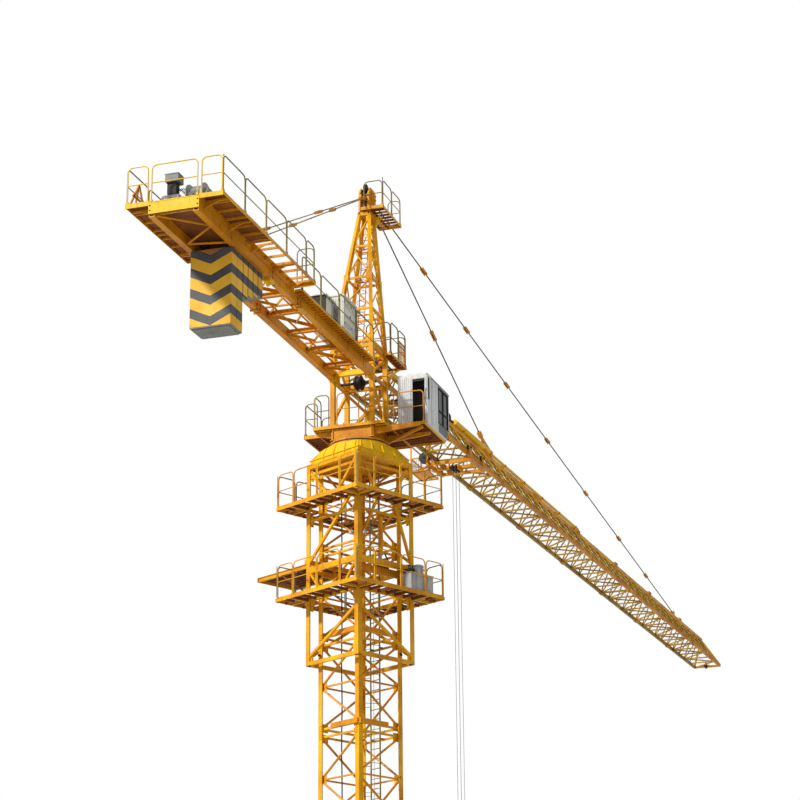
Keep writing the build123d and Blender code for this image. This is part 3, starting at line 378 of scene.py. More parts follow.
class Form:
    """Vertices and faces of one piece, gathered shape by shape."""

    def __init__(self, turn=0.0):
        self.verts = []
        self.faces = []
        self.smooth = []
        self.turn = Matrix.Rotation(turn, 3, "Z")

    def add(self, verts, faces, smooth=False):
        base = len(self.verts)
        self.verts += [self.turn @ Vector(v) for v in verts]
        self.faces += [[base + i for i in face] for face in faces]
        self.smooth += [smooth] * len(faces)

    def prism(self, low, high, smooth=False):
        """Joins two outlines with the same number of points, and closes both ends."""
        n = len(low)
        sides = [[i, (i + 1) % n, n + (i + 1) % n, n + i] for i in range(n)]
        self.add(list(low) + list(high), sides, smooth)
        self.add(low, [list(range(n))[::-1]])
        self.add(high, [list(range(n))])

    def box(self, a, b):
        """A box between any two opposite corners."""
        (x0, y0, z0), (x1, y1, z1) = map(min, a, b), map(max, a, b)
        ring = [(x0, y0), (x1, y0), (x1, y1), (x0, y1)]
        self.prism([(x, y, z0) for x, y in ring], [(x, y, z1) for x, y in ring])

    def post(self, x, y, low, high, half):
        """An upright square block about x, y."""
        self.box((x - half, y - half, low), (x + half, y + half, high))

    def profile(self, a, b, outline, up=UP, smooth=False):
        """Runs a flat outline from a to b; its first axis is level, its second points up."""
        a, b = Vector(a), Vector(b)
        along = (b - a).normalized()
        side = along.cross(Vector(up))
        if side.length < 1e-4:
            side = along.cross(Vector(ALONG))
        side.normalize()
        top = side.cross(along)
        low = [a + side * u + top * v for u, v in outline]
        high = [b + side * u + top * v for u, v in outline]
        self.prism(low, high, smooth)

    def beam(self, a, b, width, height=None, up=UP):
        w, h = width / 2, (height or width) / 2
        self.profile(a, b, [(-w, -h), (-w, h), (w, h), (w, -h)], up)

    def angle(self, a, b, size, thick, flip=1, up=UP):
        """An L section: one leg level on top, one upright at the side that flip names."""
        s, t = size, thick
        outline = [(0, 0), (s, 0), (s, -t), (t, -t), (t, -s), (0, -s)]
        if flip < 0:
            outline = [(-u, v) for u, v in outline][::-1]
        self.profile(a, b, outline, up)

    def corner_post(self, x, y, low, high, leg, thick):
        """An upright L section whose corner lies at x, y and whose legs point at the axis."""
        u, v = -math.copysign(1, x), -math.copysign(1, y)
        outline = [(0, 0), (leg, 0), (leg, thick), (thick, thick), (thick, leg), (0, leg)]
        ring = [(x + u * a, y + v * b) for a, b in outline]
        self.slab(ring, 2, low, high)

    def slab(self, outline, axis, low, high):
        """A flat outline given thickness along one axis; the outline holds the other two."""
        area = sum(p[0] * q[1] - p[1] * q[0] for p, q in zip(outline, outline[1:] + outline[:1]))
        if (area > 0) == (axis == 1):
            outline = outline[::-1]
        ends = []
        for depth in (min(low, high), max(low, high)):
            ends.append([(*point[:axis], depth, *point[axis:]) for point in outline])
        self.prism(*ends)

    def plate(self, outline, axis, middle, half):
        """A flat outline given half its thickness to each side of a middle."""
        self.slab(outline, axis, middle - half, middle + half)

    def gusset(self, p, q, share, z, length, height, thick=0.008):
        """A flat plate in the face between two corners, centred a share of the way along."""
        a, b = Vector((*p, z)), Vector((*q, z))
        middle = a + (b - a) * share
        along = (b - a).normalized() * length / 2
        self.beam(middle - along, middle + along, thick, height)

    def tube(self, a, b, radius, sides=8):
        step = 2 * math.pi / sides
        ring = [(radius * math.cos(i * step), radius * math.sin(i * step)) for i in range(sides)]
        self.profile(a, b, ring[::-1], smooth=True)

    def axle(self, centre, reach, radius, sides=12):
        """A round bar across the crane, from one side of its centre to the other."""
        x, y, z = centre
        self.tube((x, y - reach, z), (x, y + reach, z), radius, sides)

    def pipe(self, points, radius, sides=8, closed=False):
        """A round pipe along a line of points, mitred at each of them."""
        points = [Vector(p) for p in points]
        count = len(points)
        rings = []
        side = None
        for i, point in enumerate(points):
            before = points[i - 1] if i or closed else point
            after = points[(i + 1) % count] if i < count - 1 or closed else point
            into = (point - before).normalized() if before != point else (after - point).normalized()
            out = (after - point).normalized() if after != point else into
            along = (into + out).normalized()
            if side is None:
                side = along.orthogonal().normalized()
            side = (side - along * side.dot(along)).normalized()
            top = along.cross(side)
            for k in range(sides):
                turn = 2 * math.pi * k / sides
                rings.append(point + (side * math.cos(turn) + top * math.sin(turn)) * radius)
        faces = []
        spans = count if closed else count - 1
        for i in range(spans):
            a, b = i * sides, ((i + 1) % count) * sides
            for k in range(sides):
                m = (k + 1) % sides
                faces.append([a + k, a + m, b + m, b + k])
        self.add(rings, faces, True)
        if not closed:
            self.add(rings[:sides], [list(range(sides))[::-1]])
            self.add(rings[-sides:], [list(range(sides))])

    def turned(self, centre, axis, outline, sides=32):
        """Spins an outline of (distance, radius) points about an axis."""
        centre, axis = Vector(centre), Vector(axis).normalized()
        side = axis.orthogonal().normalized()
        top = axis.cross(side)
        verts = []
        for distance, radius in outline:
            for k in range(sides):
                turn = 2 * math.pi * k / sides
                spoke = side * math.cos(turn) + top * math.sin(turn)
                verts.append(centre + axis * distance + spoke * radius)
        faces = []
        for i in range(len(outline) - 1):
            for k in range(sides):
                m = (k + 1) % sides
                low, high = i * sides, (i + 1) * sides
                faces.append([low + k, low + m, high + m, high + k])
        self.add(verts, faces, True)
        self.add(verts[:sides], [list(range(sides))[::-1]])
        self.add(verts[-sides:], [list(range(sides))])

    def bolt(self, place, axis, size):
        """A hexagon head with a washer under it."""
        place, axis = Vector(place), Vector(axis).normalized()
        self.turned(place, axis, [(0, size), (size * 0.25, size)], 12)
        self.turned(place + axis * size * 0.25, axis, [(0, size * 0.75), (size * 0.7, size * 0.75)], 6)

    def make(self, name, body, paint, slot, stands_for=(), bevel=0.0):
        mesh = bpy.data.meshes.new(name)
        mesh.from_pydata([tuple(v) for v in self.verts], [], self.faces)
        mesh.polygons.foreach_set("use_smooth", self.smooth)
        mesh.update()
        mesh.set_sharp_from_angle(angle=math.radians(40))
        mesh.materials.append(paint)
        piece = bpy.data.objects.new(name, mesh)
        bpy.context.scene.collection.objects.link(piece)
        if bevel:
            rounding = piece.modifiers.new("rounding", "BEVEL")
            rounding.width = bevel
            rounding.segments = 2
            rounding.limit_method = "ANGLE"
        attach(piece, body)
        if stands_for:
            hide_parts(*stands_for)
        return piece


def forms(count, turn=0.0):
    """Several empty pieces to fill side by side."""
    return tuple(Form(turn) for _ in range(count))


# Materials

class Nodes:
    """A short hand for building one material's node tree."""

    def __init__(self, name):
        self.material = bpy.data.materials.new(name)
        self.material.use_nodes = True
        self.tree = self.material.node_tree
        self.shader = self.tree.nodes["Principled BSDF"]
        self.place = self.node("ShaderNodeTexCoord").outputs["Object"]

    def node(self, kind, **values):
        made = self.tree.nodes.new(kind)
        for key, value in values.items():
            setattr(made, key, value)
        return made

    def link(self, source, target):
        self.tree.links.new(source, target)

    def scaled(self, scale):
        mapping = self.node("ShaderNodeMapping")
        mapping.inputs["Scale"].default_value = scale
        self.link(self.place, mapping.inputs["Vector"])
        return mapping.outputs["Vector"]

    def noise(self, scale, detail=4.0, stretch=None, roughness=0.55):
        made = self.node("ShaderNodeTexNoise")
        made.inputs["Scale"].default_value = scale
        made.inputs["Detail"].default_value = detail
        made.inputs["Roughness"].default_value = roughness
        self.link(self.scaled(stretch) if stretch else self.place, made.inputs["Vector"])
        return made.outputs["Fac"]

    def steps(self, value, low, high):
        """Remaps a value so that low gives 0 and high gives 1."""
        made = self.node("ShaderNodeMapRange")
        made.inputs["From Min"].default_value = low
        made.inputs["From Max"].default_value = high
        self.link(value, made.inputs["Value"])
        return made.outputs["Result"]

    def ranged(self, value, low, high):
        """Remaps a value from 0 to 1 so that it runs from low to high."""
        made = self.node("ShaderNodeMapRange")
        made.inputs["To Min"].default_value = low
        made.inputs["To Max"].default_value = high
        self.link(value, made.inputs["Value"])
        return made.outputs["Result"]

    def maths(self, kind, a, b=None):
        made = self.node("ShaderNodeMath", operation=kind)
        for index, value in enumerate((a, b)):
            if isinstance(value, (int, float)):
                made.inputs[index].default_value = value
            elif value is not None:
                self.link(value, made.inputs[index])
        return made.outputs[0]

    def mix(self, share, a, b):
        made = self.node("ShaderNodeMix", data_type="RGBA")
        for value, socket in ((a, made.inputs[6]), (b, made.inputs[7])):
            if isinstance(value, tuple):
                socket.default_value = (*value, 1)
            else:
                self.link(value, socket)
        self.link(share, made.inputs[0])
        return made.outputs[2]

    def finish(self, colour, rough, height, bump=0.15, distance=0.002):
        self.link(colour, self.shader.inputs["Base Color"])
        self.link(rough, self.shader.inputs["Roughness"])
        relief = self.node("ShaderNodeBump")
        relief.inputs["Strength"].default_value = bump
        relief.inputs["Distance"].default_value = distance
        self.link(height, relief.inputs["Height"])
        self.link(relief.outputs["Normal"], self.shader.inputs["Normal"])
        return self.material


def painted(name, light, deep, rust=(0.16, 0.05, 0.015), rust_at=0.66, rough=0.42, metallic=0.0):
    """Site-worn paint: faded patches, grime in runs, speckle and rust where it has chipped."""
    n = Nodes(name)
    patches = n.steps(n.noise(1.7, 5.0), 0.35, 0.65)
    colour = n.mix(patches, light, deep)
    runs = n.steps(n.noise(2.0, 6.0, (14, 14, 1.6)), 0.52, 0.78)
    colour = n.mix(n.maths("MULTIPLY", runs, 0.6), colour, tuple(c * 0.45 for c in deep))
    speckle = n.noise(42.0, 6.0, roughness=0.7)
    dirt = n.maths("MULTIPLY", n.steps(speckle, 0.50, 0.70), 0.62)
    colour = n.mix(dirt, colour, tuple(c * 0.35 for c in deep))
    chips = n.noise(9.0, 8.0, roughness=0.68)
    worn = n.steps(chips, rust_at, rust_at + 0.05)
    colour = n.mix(worn, colour, rust)
    gloss = n.maths("ADD", n.ranged(patches, rough - 0.06, rough + 0.1), n.maths("MULTIPLY", worn, 0.35))
    n.shader.inputs["Metallic"].default_value = metallic
    n.shader.inputs["Specular IOR Level"].default_value = 0.22
    return n.finish(colour, gloss, n.maths("SUBTRACT", speckle, worn), 0.2, 0.0015)


def hazard_paint():
    """Dark and yellow chevrons on the counterweights, bare above the highest one."""
    n = Nodes("hazard_chevrons")
    split = n.node("ShaderNodeSeparateXYZ")
    n.link(n.place, split.inputs[0])
    wobble = n.maths("MULTIPLY", n.noise(14.0, 3.0), 0.012)
    lean = n.maths("MULTIPLY", n.maths("ABSOLUTE", split.outputs[1]), CHEVRON_LEAN)
    level = n.maths("ADD", n.maths("SUBTRACT", split.outputs[2], lean), wobble)
    phase = n.maths("DIVIDE", n.maths("SUBTRACT", level, CHEVRON_START), CHEVRON_PITCH)
    dark = n.maths("LESS_THAN", n.maths("FRACT", phase), CHEVRON_SHARE)
    bare = n.maths("GREATER_THAN", level, CHEVRON_START + (CHEVRONS - 1 + CHEVRON_SHARE) * CHEVRON_PITCH)
    patches = n.steps(n.noise(2.3, 6.0), 0.38, 0.64)
    yellow = n.mix(patches, (0.88, 0.50, 0.02), (0.72, 0.38, 0.02))
    slate = n.mix(patches, (0.055, 0.06, 0.07), (0.085, 0.09, 0.10))
    brown = n.mix(patches, (0.42, 0.18, 0.04), (0.28, 0.11, 0.03))
    colour = n.mix(bare, n.mix(dark, yellow, slate), brown)
    rust = n.steps(n.noise(5.0, 9.0, (1, 1, 0.5), 0.7), 0.64, 0.70)
    colour = n.mix(rust, colour, (0.24, 0.07, 0.02))
    speckle = n.noise(60.0, 5.0, roughness=0.7)
    colour = n.mix(n.maths("MULTIPLY", n.steps(speckle, 0.55, 0.8), 0.45), colour, (0.12, 0.08, 0.04))
    rough = n.ranged(patches, 0.55, 0.75)
    return n.finish(colour, rough, n.maths("SUBTRACT", speckle, rust), 0.25, 0.002)


def glazing():
    """Dark, dusty cab glass."""
    n = Nodes("cab_glazing")
    dust = n.noise(3.0, 6.0, (1, 1, 2.5))
    colour = n.mix(n.steps(dust, 0.4, 0.8), (0.018, 0.026, 0.024), (0.10, 0.12, 0.11))
    return n.finish(colour, n.ranged(dust, 0.04, 0.22), dust, 0.02, 0.0005)


YELLOW = painted("yellow_site_paint", (0.90, 0.47, 0.006), (0.62, 0.25, 0.004))
# Orange paint, also used as painted shade: a darker copy of the yellow on some yellow parts, the mast's
# braces and the jib's right lower chord.
ORANGE_AND_SHADE = painted("orange_paint_and_painted_shade", (0.78, 0.34, 0.006), (0.56, 0.20, 0.004), rust_at=0.62)
# Painted shade: a dark, dull copy of the yellow for the jib's lacing and left lower chord.
SHADED = painted("jib_painted_shade_paint", (0.44, 0.27, 0.012), (0.26, 0.13, 0.008), rust_at=0.58)
BRIGHT = painted("fresh_yellow_paint", (0.90, 0.58, 0.006), (0.82, 0.47, 0.005), rust_at=0.72)
WHITE = painted("cab_white_paint", (0.76, 0.78, 0.78), (0.64, 0.66, 0.66), (0.22, 0.18, 0.13), 0.72, 0.35)
CREAM = painted("cream_cabinet_paint", (0.80, 0.79, 0.68), (0.66, 0.65, 0.56), (0.18, 0.12, 0.07), 0.70)
GREY = painted("machine_grey_paint", (0.30, 0.33, 0.32), (0.17, 0.19, 0.19), (0.10, 0.06, 0.04), 0.68)
LIGHT_GREY = painted("motor_light_grey", (0.55, 0.57, 0.56), (0.36, 0.38, 0.37), (0.12, 0.08, 0.05), 0.66)
DARK = painted("dark_greased_steel", (0.045, 0.042, 0.04), (0.02, 0.019, 0.018), (0.10, 0.05, 0.025),
               0.66, 0.5)
RAIL = painted("rail_paint", (0.40, 0.34, 0.13), (0.20, 0.16, 0.07), (0.06, 0.04, 0.02), 0.58, 0.45)
ROD = painted("tie_rod_paint", (0.13, 0.085, 0.05), (0.07, 0.045, 0.03), (0.20, 0.07, 0.02), 0.60, 0.5)
DECK = painted("deck_slat_brown", (0.30, 0.10, 0.014), (0.15, 0.045, 0.010), rust_at=0.58, rough=0.6)
SHEET = painted("deck_sheet_tan", (0.80, 0.52, 0.26), (0.56, 0.30, 0.11), rust_at=0.60, rough=0.6)
STONE = painted("slab_foot_grey", (0.30, 0.30, 0.28), (0.20, 0.20, 0.19), (0.09, 0.07, 0.05), 0.64, 0.7)
ROPE = painted("wire_rope", (0.34, 0.34, 0.34), (0.20, 0.20, 0.20), (0.10, 0.06, 0.03), 0.62, 0.4, 0.6)
HAZARD = hazard_paint()
GLAZING = glazing()


# Camera, light and floor

def set_camera():
    heading, pitch = CAMERA_HEADING, CAMERA_PITCH
    forward = Vector((
        math.cos(pitch) * math.cos(heading), math.cos(pitch) * math.sin(heading), math.sin(pitch),
    ))
    right = Vector((math.sin(heading), -math.cos(heading), 0))
    up = right.cross(forward)
    roll = CAMERA_ROLL
    x_axis = right * math.cos(roll) + up * math.sin(roll)
    y_axis = up * math.cos(roll) - right * math.sin(roll)
    data = bpy.data.cameras.new("photo_camera")
    data.sensor_width = CAMERA_SENSOR
    data.lens = CAMERA_LENS
    data.clip_end = 500
    camera = bpy.data.objects.new("photo_camera", data)
    turn = Matrix((x_axis, y_axis, -forward)).transposed()
    camera.matrix_world = Matrix.Translation(CAMERA_PLACE) @ turn.to_4x4()
    bpy.context.scene.collection.objects.link(camera)
    bpy.context.scene.camera = camera


def add_light(name, direction, strength, size, colour=(1, 1, 1)):
    data = bpy.data.lights.new(name, "SUN")
    data.energy = strength
    data.angle = math.radians(size)
    data.color = colour
    light = bpy.data.objects.new(name, data)
    light.rotation_euler = Vector(direction).to_track_quat("-Z", "Y").to_euler()
    bpy.context.scene.collection.objects.link(light)


def set_stage():
    n = Nodes("pale_floor")
    tone = n.mix(n.noise(0.4, 3.0), (0.52, 0.52, 0.51), (0.58, 0.58, 0.57))
    floor_paint = n.finish(tone, n.ranged(n.noise(6.0), 0.7, 0.9), n.noise(30.0), 0.05)
    floor = Form()
    floor.add([(*spot, 0) for spot in corners(FLOOR_HALF)], [[0, 1, 2, 3]])
    mesh = bpy.data.meshes.new("floor")
    mesh.from_pydata([tuple(v) for v in floor.verts], [], floor.faces)
    mesh.materials.append(floor_paint)
    stage = bpy.data.objects.new("floor", mesh)
    bpy.context.scene.collection.objects.link(stage)
    world = bpy.data.worlds.new("studio")
    world.use_nodes = True
    tree = world.node_tree
    sky = tree.nodes["Background"]
    sky.inputs["Color"].default_value = (1, 1, 1, 1)
    sky.inputs["Strength"].default_value = SKY_STRENGTH
    seen = tree.nodes.new("ShaderNodeBackground")
    seen.inputs["Color"].default_value = (1, 1, 1, 1)
    path = tree.nodes.new("ShaderNodeLightPath")
    choice = tree.nodes.new("ShaderNodeMixShader")
    tree.links.new(path.outputs["Is Camera Ray"], choice.inputs[0])
    tree.links.new(sky.outputs[0], choice.inputs[1])
    tree.links.new(seen.outputs[0], choice.inputs[2])
    tree.links.new(choice.outputs[0], tree.nodes["World Output"].inputs["Surface"])
    bpy.context.scene.world = world
    bpy.context.scene.view_settings.view_transform = "Standard"
    add_light("sun", SUN_DIRECTION, SUN_STRENGTH, SUN_SPREAD, (1.0, 0.97, 0.91))


# Places

def corners(half):
    return [(-half, -half), (half, -half), (half, half), (-half, half)]


def ring_of(points):
    """Each point with the next one, back to the first."""
    return list(zip(points, points[1:] + points[:1]))


def sides(half):
    return ring_of(corners(half))


def at(point, z):
    return (point[0], point[1], z)


def between(p, q, share):
    return tuple(a + (b - a) * share for a, b in zip(p, q))


def around(count, shift=0.0):
    """Cosine and sine of evenly spread turns."""
    turns = [2 * math.pi * (k + shift) / count for k in range(count)]
    return [(math.cos(turn), math.sin(turn)) for turn in turns]


def jib_at(x, y, height):
    return (x, y, JIB_ROOT_Z + (x - JIB_ROOT) * JIB_RISE + height)


# Mast

def mast_section(number):
    """Angle chords with bolted splices, a round-bar zigzag, struts and gussets."""
    base = number * SECTION
    top = base + SECTION
    foot = FOOT_PLATE if number == 0 else 0.0
    form, brace, joint = forms(3, MAST_TURN)
    for x, y in corners(MAST_OUTER):
        form.corner_post(x, y, base + foot, top - 0.002, MAST_LEG, MAST_LEG_THICK)
        sx, sy = math.copysign(1, x), math.copysign(1, y)
        for z, reach in ((base + SPLICE_REACH, SPLICE_REACH), (top - SPLICE_REACH, SPLICE_REACH - 0.002)):
            if number == 0 and z < SECTION / 2:
                continue
            inset = MAST_LEG_THICK + 0.006
            inner = (x - sx * inset, y - sy * inset)
            joint.corner_post(*inner, z - reach, z + reach, MAST_LEG - 0.02, SPLICE_THICK)
            for along in SPLICE_BOLTS_ACROSS:
                for dz in (-SPLICE_BOLTS_UP, 0.0, SPLICE_BOLTS_UP):
                    joint.bolt((x, y - sy * along, z + dz), (sx, 0, 0), BOLT)
                    joint.bolt((x - sx * along, y, z + dz), (0, sy, 0), BOLT)
    low, middle, strut = base + STRUT_INSET + foot, base + SECTION / 2, top - STRUT_INSET
    for p, q in sides(MAST_HALF):
        for z in (strut, low):
            form.beam(at(p, z), at(q, z), *STRUT)
        brace.beam(at(p, middle), at(q, middle), *MIDDLE_STRUT)
        brace.tube(at(q, low + BRACE_GAP), at(p, middle - BRACE_GAP), BRACE_R)
        brace.tube(at(p, middle + BRACE_GAP), at(q, strut - BRACE_GAP), BRACE_R)
        for z in (low + 0.02, strut - 0.02):
            form.gusset(p, q, 0.93, z, *STRUT_GUSSET)
        form.gusset(p, q, 0.06, middle, *MIDDLE_GUSSET)
    name = "mast_section_%d" % (number + 1)
    form.make(name + "_chords", STANDING, YELLOW, "yellow_paint", (name,))
    # Painted shade: the braces take the darker orange copy of the yellow.
    brace.make(name + "_braces", STANDING, ORANGE_AND_SHADE, "yellow_paint")
    joint.make(name + "_splices", STANDING, ORANGE_AND_SHADE, "yellow_paint")


def mast_lugs():
    """Thick stub beams on the two near faces, just above each joint up to the first in the cage."""
    form = Form(MAST_TURN)
    line = -MAST_OUTER - LUG_WIDTH / 2
    for number in range(1, SECTIONS - CAGE_SECTIONS + 2):
        z = number * SECTION + LUG_LIFT
        for near, far in (((line, -MAST_OUTER), (line, 0.13)), ((-MAST_OUTER, line), (0.12, line))):
            form.beam(at(near, z), at(far, z), LUG_WIDTH, LUG_HEIGHT)
    form.make("mast_climbing_lugs", STANDING, ORANGE_AND_SHADE, "yellow_paint")


def ladder():
    """Rails, rungs and safety hoops up the inside of the mast."""
    x = MAST_HALF - LADDER_INSET
    form = Form(MAST_TURN)
    low, high = LADDER_LOW, MAST_TOP - 0.03
    for y in (-LADDER_HALF, LADDER_HALF):
        form.beam((x, y, low), (x, y, high), 0.01, 0.024)
    for i in range(int((high - low) / RUNG_PITCH)):
        z = low + 0.1 + i * RUNG_PITCH
        form.tube((x, -LADDER_HALF, z), (x, LADDER_HALF, z), RUNG_R, 6)

    def hoop_point(k):
        turn = math.pi * k / HOOP_STEPS
        return (x - 0.05 - HOOP_DEPTH * math.sin(turn), -HOOP_HALF * math.cos(turn))

    for i in range(int((high - HOOPS_LOW) / HOOP_PITCH)):
        z = HOOPS_LOW + i * HOOP_PITCH
        ends = [(x - 0.02, -LADDER_HALF, z)], [(x - 0.02, LADDER_HALF, z)]
        form.pipe(ends[0] + [at(hoop_point(k), z) for k in range(HOOP_STEPS + 1)] + ends[1], HOOP_R, 5)
    for k in (2, 6, 10):
        form.tube(at(hoop_point(k), HOOPS_LOW), at(hoop_point(k), high - 0.3), 0.004, 5)
    for i in range(SECTIONS):
        z = (i + 1) * SECTION - STRUT_INSET
        for y in (-LADDER_HALF, LADDER_HALF):
            form.beam((x, y, z), (MAST_HALF - 0.02, y, z), 0.012, 0.03)
    form.make("mast_ladder_and_hoops", STANDING, RAIL, "yellow_paint", ("mast_ladder",))


def mast_cable():
    """The supply cable clipped to the struts of the near left face, inside the mast."""
    form = Form(MAST_TURN)
    x, y = -MAST_HALF + 0.04, 0.02
    points = [(x, y + CABLE_WAVE * math.sin(i * 1.7), 0.05 + i * CABLE_STEP) for i in range(CABLE_POINTS)]
    form.pipe(points, CABLE_R, 6)
    form.make("mast_supply_cable", STANDING, DARK, "dark_steel")


def base_frame():
    """Foot plates with stiffeners and anchor bolts, and the ground beams."""
    form = Form(MAST_TURN)
    bolts = Form(MAST_TURN)
    for x, y in corners(MAST_HALF):
        sx, sy = math.copysign(1, x), math.copysign(1, y)
        form.post(x, y, 0, FOOT_PLATE, FOOT_HALF)
        edge_x, edge_y = x + sx * MAST_CHORD / 2, y + sy * MAST_CHORD / 2
        for shift in (-0.03, 0.03):
            for axis, edge, sign, line in ((1, edge_x, sx, y + shift), (0, edge_y, sy, x + shift)):
                outline = [(edge, FOOT_PLATE), (edge + sign * FOOT_RIB_REACH, FOOT_PLATE),
                           (edge, FOOT_PLATE + FOOT_RIB_RISE)]
                form.slab(outline, axis, line - FOOT_RIB_HALF, line + FOOT_RIB_HALF)
        spot = (x + sx * ANCHOR_OFFSET, y + sy * ANCHOR_OFFSET)
        bolts.bolt(at(spot, FOOT_PLATE), UP, ANCHOR_HEAD)
        bolts.tube(at(spot, 0.03), at(spot, 0.075), ANCHOR_HEAD / 2)
    for p, q in sides(MAST_HALF):
        a, b = between(p, q, 0.06), between(p, q, 0.94)
        for z, width, height in ((0.006, 0.058, 0.012), (0.052, 0.058, 0.012), (0.029, 0.01, 0.036)):
            form.beam(at(a, z), at(b, z), width, height)
    form.make("base_plates_and_beams", STANDING, YELLOW, "yellow_paint", ("base_frame",))
    bolts.make("base_anchor_bolts", STANDING, DARK, "dark_steel")


# Platforms, rails and cage

def rounded_panel(form, a, b, bottom, height=RAIL_HEIGHT):
    """One rail panel: a bent tube with rounded upper corners, a middle rail and two feet."""
    a, b = Vector(a), Vector(b)
    along = (b - a).normalized() * RAIL_CORNER
    top = bottom + height - RAIL_R
    bend = top - RAIL_CORNER
    turns = [math.pi / 8 * k for k in (1, 2, 3)]
    points = [at(a, bottom), at(a, bend)]
    points += [at(a + along * (1 - math.cos(t)), bend + RAIL_CORNER * math.sin(t)) for t in turns]
    points += [at(a + along, top), at(b - along, top)]
    points += [at(b - along * (1 - math.sin(t)), bend + RAIL_CORNER * math.cos(t)) for t in turns]
    points += [at(b, bend), at(b, bottom)]
    form.pipe(points, RAIL_R, 6)
    form.tube(at(a, bottom + height / 2), at(b, bottom + height / 2), RAIL_R * 0.8, 6)
    for end in (a, b):
        form.post(end.x, end.y, bottom, bottom + 0.03, RAIL_FOOT)


def rail_line(form, points, bottom, panels=1, height=RAIL_HEIGHT, gap=0.02):
    """Bent panels side by side along a line of points."""
    for p, q in zip(points, points[1:]):
        trim = gap / 2 / math.dist(p, q)
        for i in range(panels):
            low, high = i / panels + trim, (i + 1) / panels - trim
            rounded_panel(form, between(p, q, low), between(p, q, high), bottom, height)


def open_deck(parts, x0, x1, y0, y1, top, edge=DECK_EDGE, pitch=SLAT_PITCH, along=0, cover=(0, 1)):
    """A walkway panel: edge angles, slats across it and a sheet over part of its length."""
    edges, sheets, slats = parts
    for p, q in ring_of([(x0, y0), (x1, y0), (x1, y1), (x0, y1)]):
        edges.angle(at(p, top), at(q, top), edge, EDGE_THICK, -1)
    spans = (x0, x1), (y0, y1)
    low, high = spans[along]
    left, right = spans[1 - along][0] + EDGE_THICK, spans[1 - along][1] - EDGE_THICK

    def spot(place, side, z):
        return (place, side, z) if along == 0 else (side, place, z)

    count = max(2, round((high - low) / pitch))
    for i in range(1, count):
        place = low + (high - low) * i / count
        slats.beam(spot(place, left, top - SLAT_DROP), spot(place, right, top - SLAT_DROP), *SLAT)
    a, b = (low + (high - low) * share for share in cover)
    sheets.box(spot(a + EDGE_THICK, left, top - 0.007), spot(b - EDGE_THICK, right, top - 0.001))


def make_deck(name, body, parts, stands_for=()):
    edges, sheets, slats = parts
    edges.make(name + "_edges", body, YELLOW, "yellow_paint", stands_for)
    sheets.make(name + "_sheets", body, SHEET, "yellow_paint")
    slats.make(name + "_slats", body, DECK, "yellow_paint")


def ring_deck(name, top):
    """A walkway ring: edge angles, cross slats and sheets with gaps at the cage's columns."""
    edges, sheets, slats = forms(3, MAST_TURN)
    for half, flip in ((CAGE_OUTER, 1), (DECK_HALF, -1)):
        for p, q in sides(half):
            edges.angle(at(p, top), at(q, top), RING_EDGE, EDGE_THICK, flip)
    reach = DECK_HALF - 0.03
    for p, q in sides(1.0):
        along = Vector((q[0] - p[0], q[1] - p[1])).normalized()
        out = Vector((along.y, -along.x))
        for i in range(RING_SLATS + 1):
            offset = -reach + 2 * reach * i / RING_SLATS
            inner = max(CAGE_OUTER, abs(offset))
            if inner > DECK_HALF - 0.02:
                continue
            a, b = along * offset + out * inner, along * offset + out * (DECK_HALF - EDGE_THICK)
            slats.beam(at(a, top - 0.03), at(b, top - 0.03), *RING_SLAT)
        for share, half in RING_SHEETS:
            middle = share * DECK_HALF
            a = along * (middle - half) + out * CAGE_OUTER
            b = along * (middle + half) + out * (DECK_HALF - 0.008)
            sheets.box(at(a, top - 0.006), at(b, top - 0.001))
    for x, y in corners(CAGE_OUTER):
        for across in (0, 1):
            far = [x, y]
            far[across] = math.copysign(DECK_HALF - 0.01, far[across])
            edges.beam((x, y, top - 0.024), at(far, top - 0.024), 0.03, 0.045)
    make_deck(name, STANDING, (edges, sheets, slats), (name,))


def ring_guard(name, top):
    """Bent rail panels on each side of a ring, near sides in their own paint, with a toe board."""
    near, far, toe = forms(3, MAST_TURN)
    line = DECK_HALF - RAIL_FOOT
    for number, (p, q) in enumerate(sides(line)):
        for low, high in PANELS:
            form = near if number in NEAR_SIDES else far
            rounded_panel(form, between(p, q, low), between(p, q, high), top)
        toe.beam(at(p, top + 0.012), at(q, top + 0.012), 0.004, 0.024)
    for spot in corners(line):
        far.tube(at(spot, top), at(spot, top + RAIL_HEIGHT - RAIL_R), RAIL_R * 0.7, 6)
    near.make(name + "_near_tubes", STANDING, YELLOW, "galvanised", (name,))
    far.make(name + "_far_tubes", STANDING, RAIL, "galvanised", (name,))
    toe.make(name + "_toe_boards", STANDING, YELLOW, "yellow_paint")


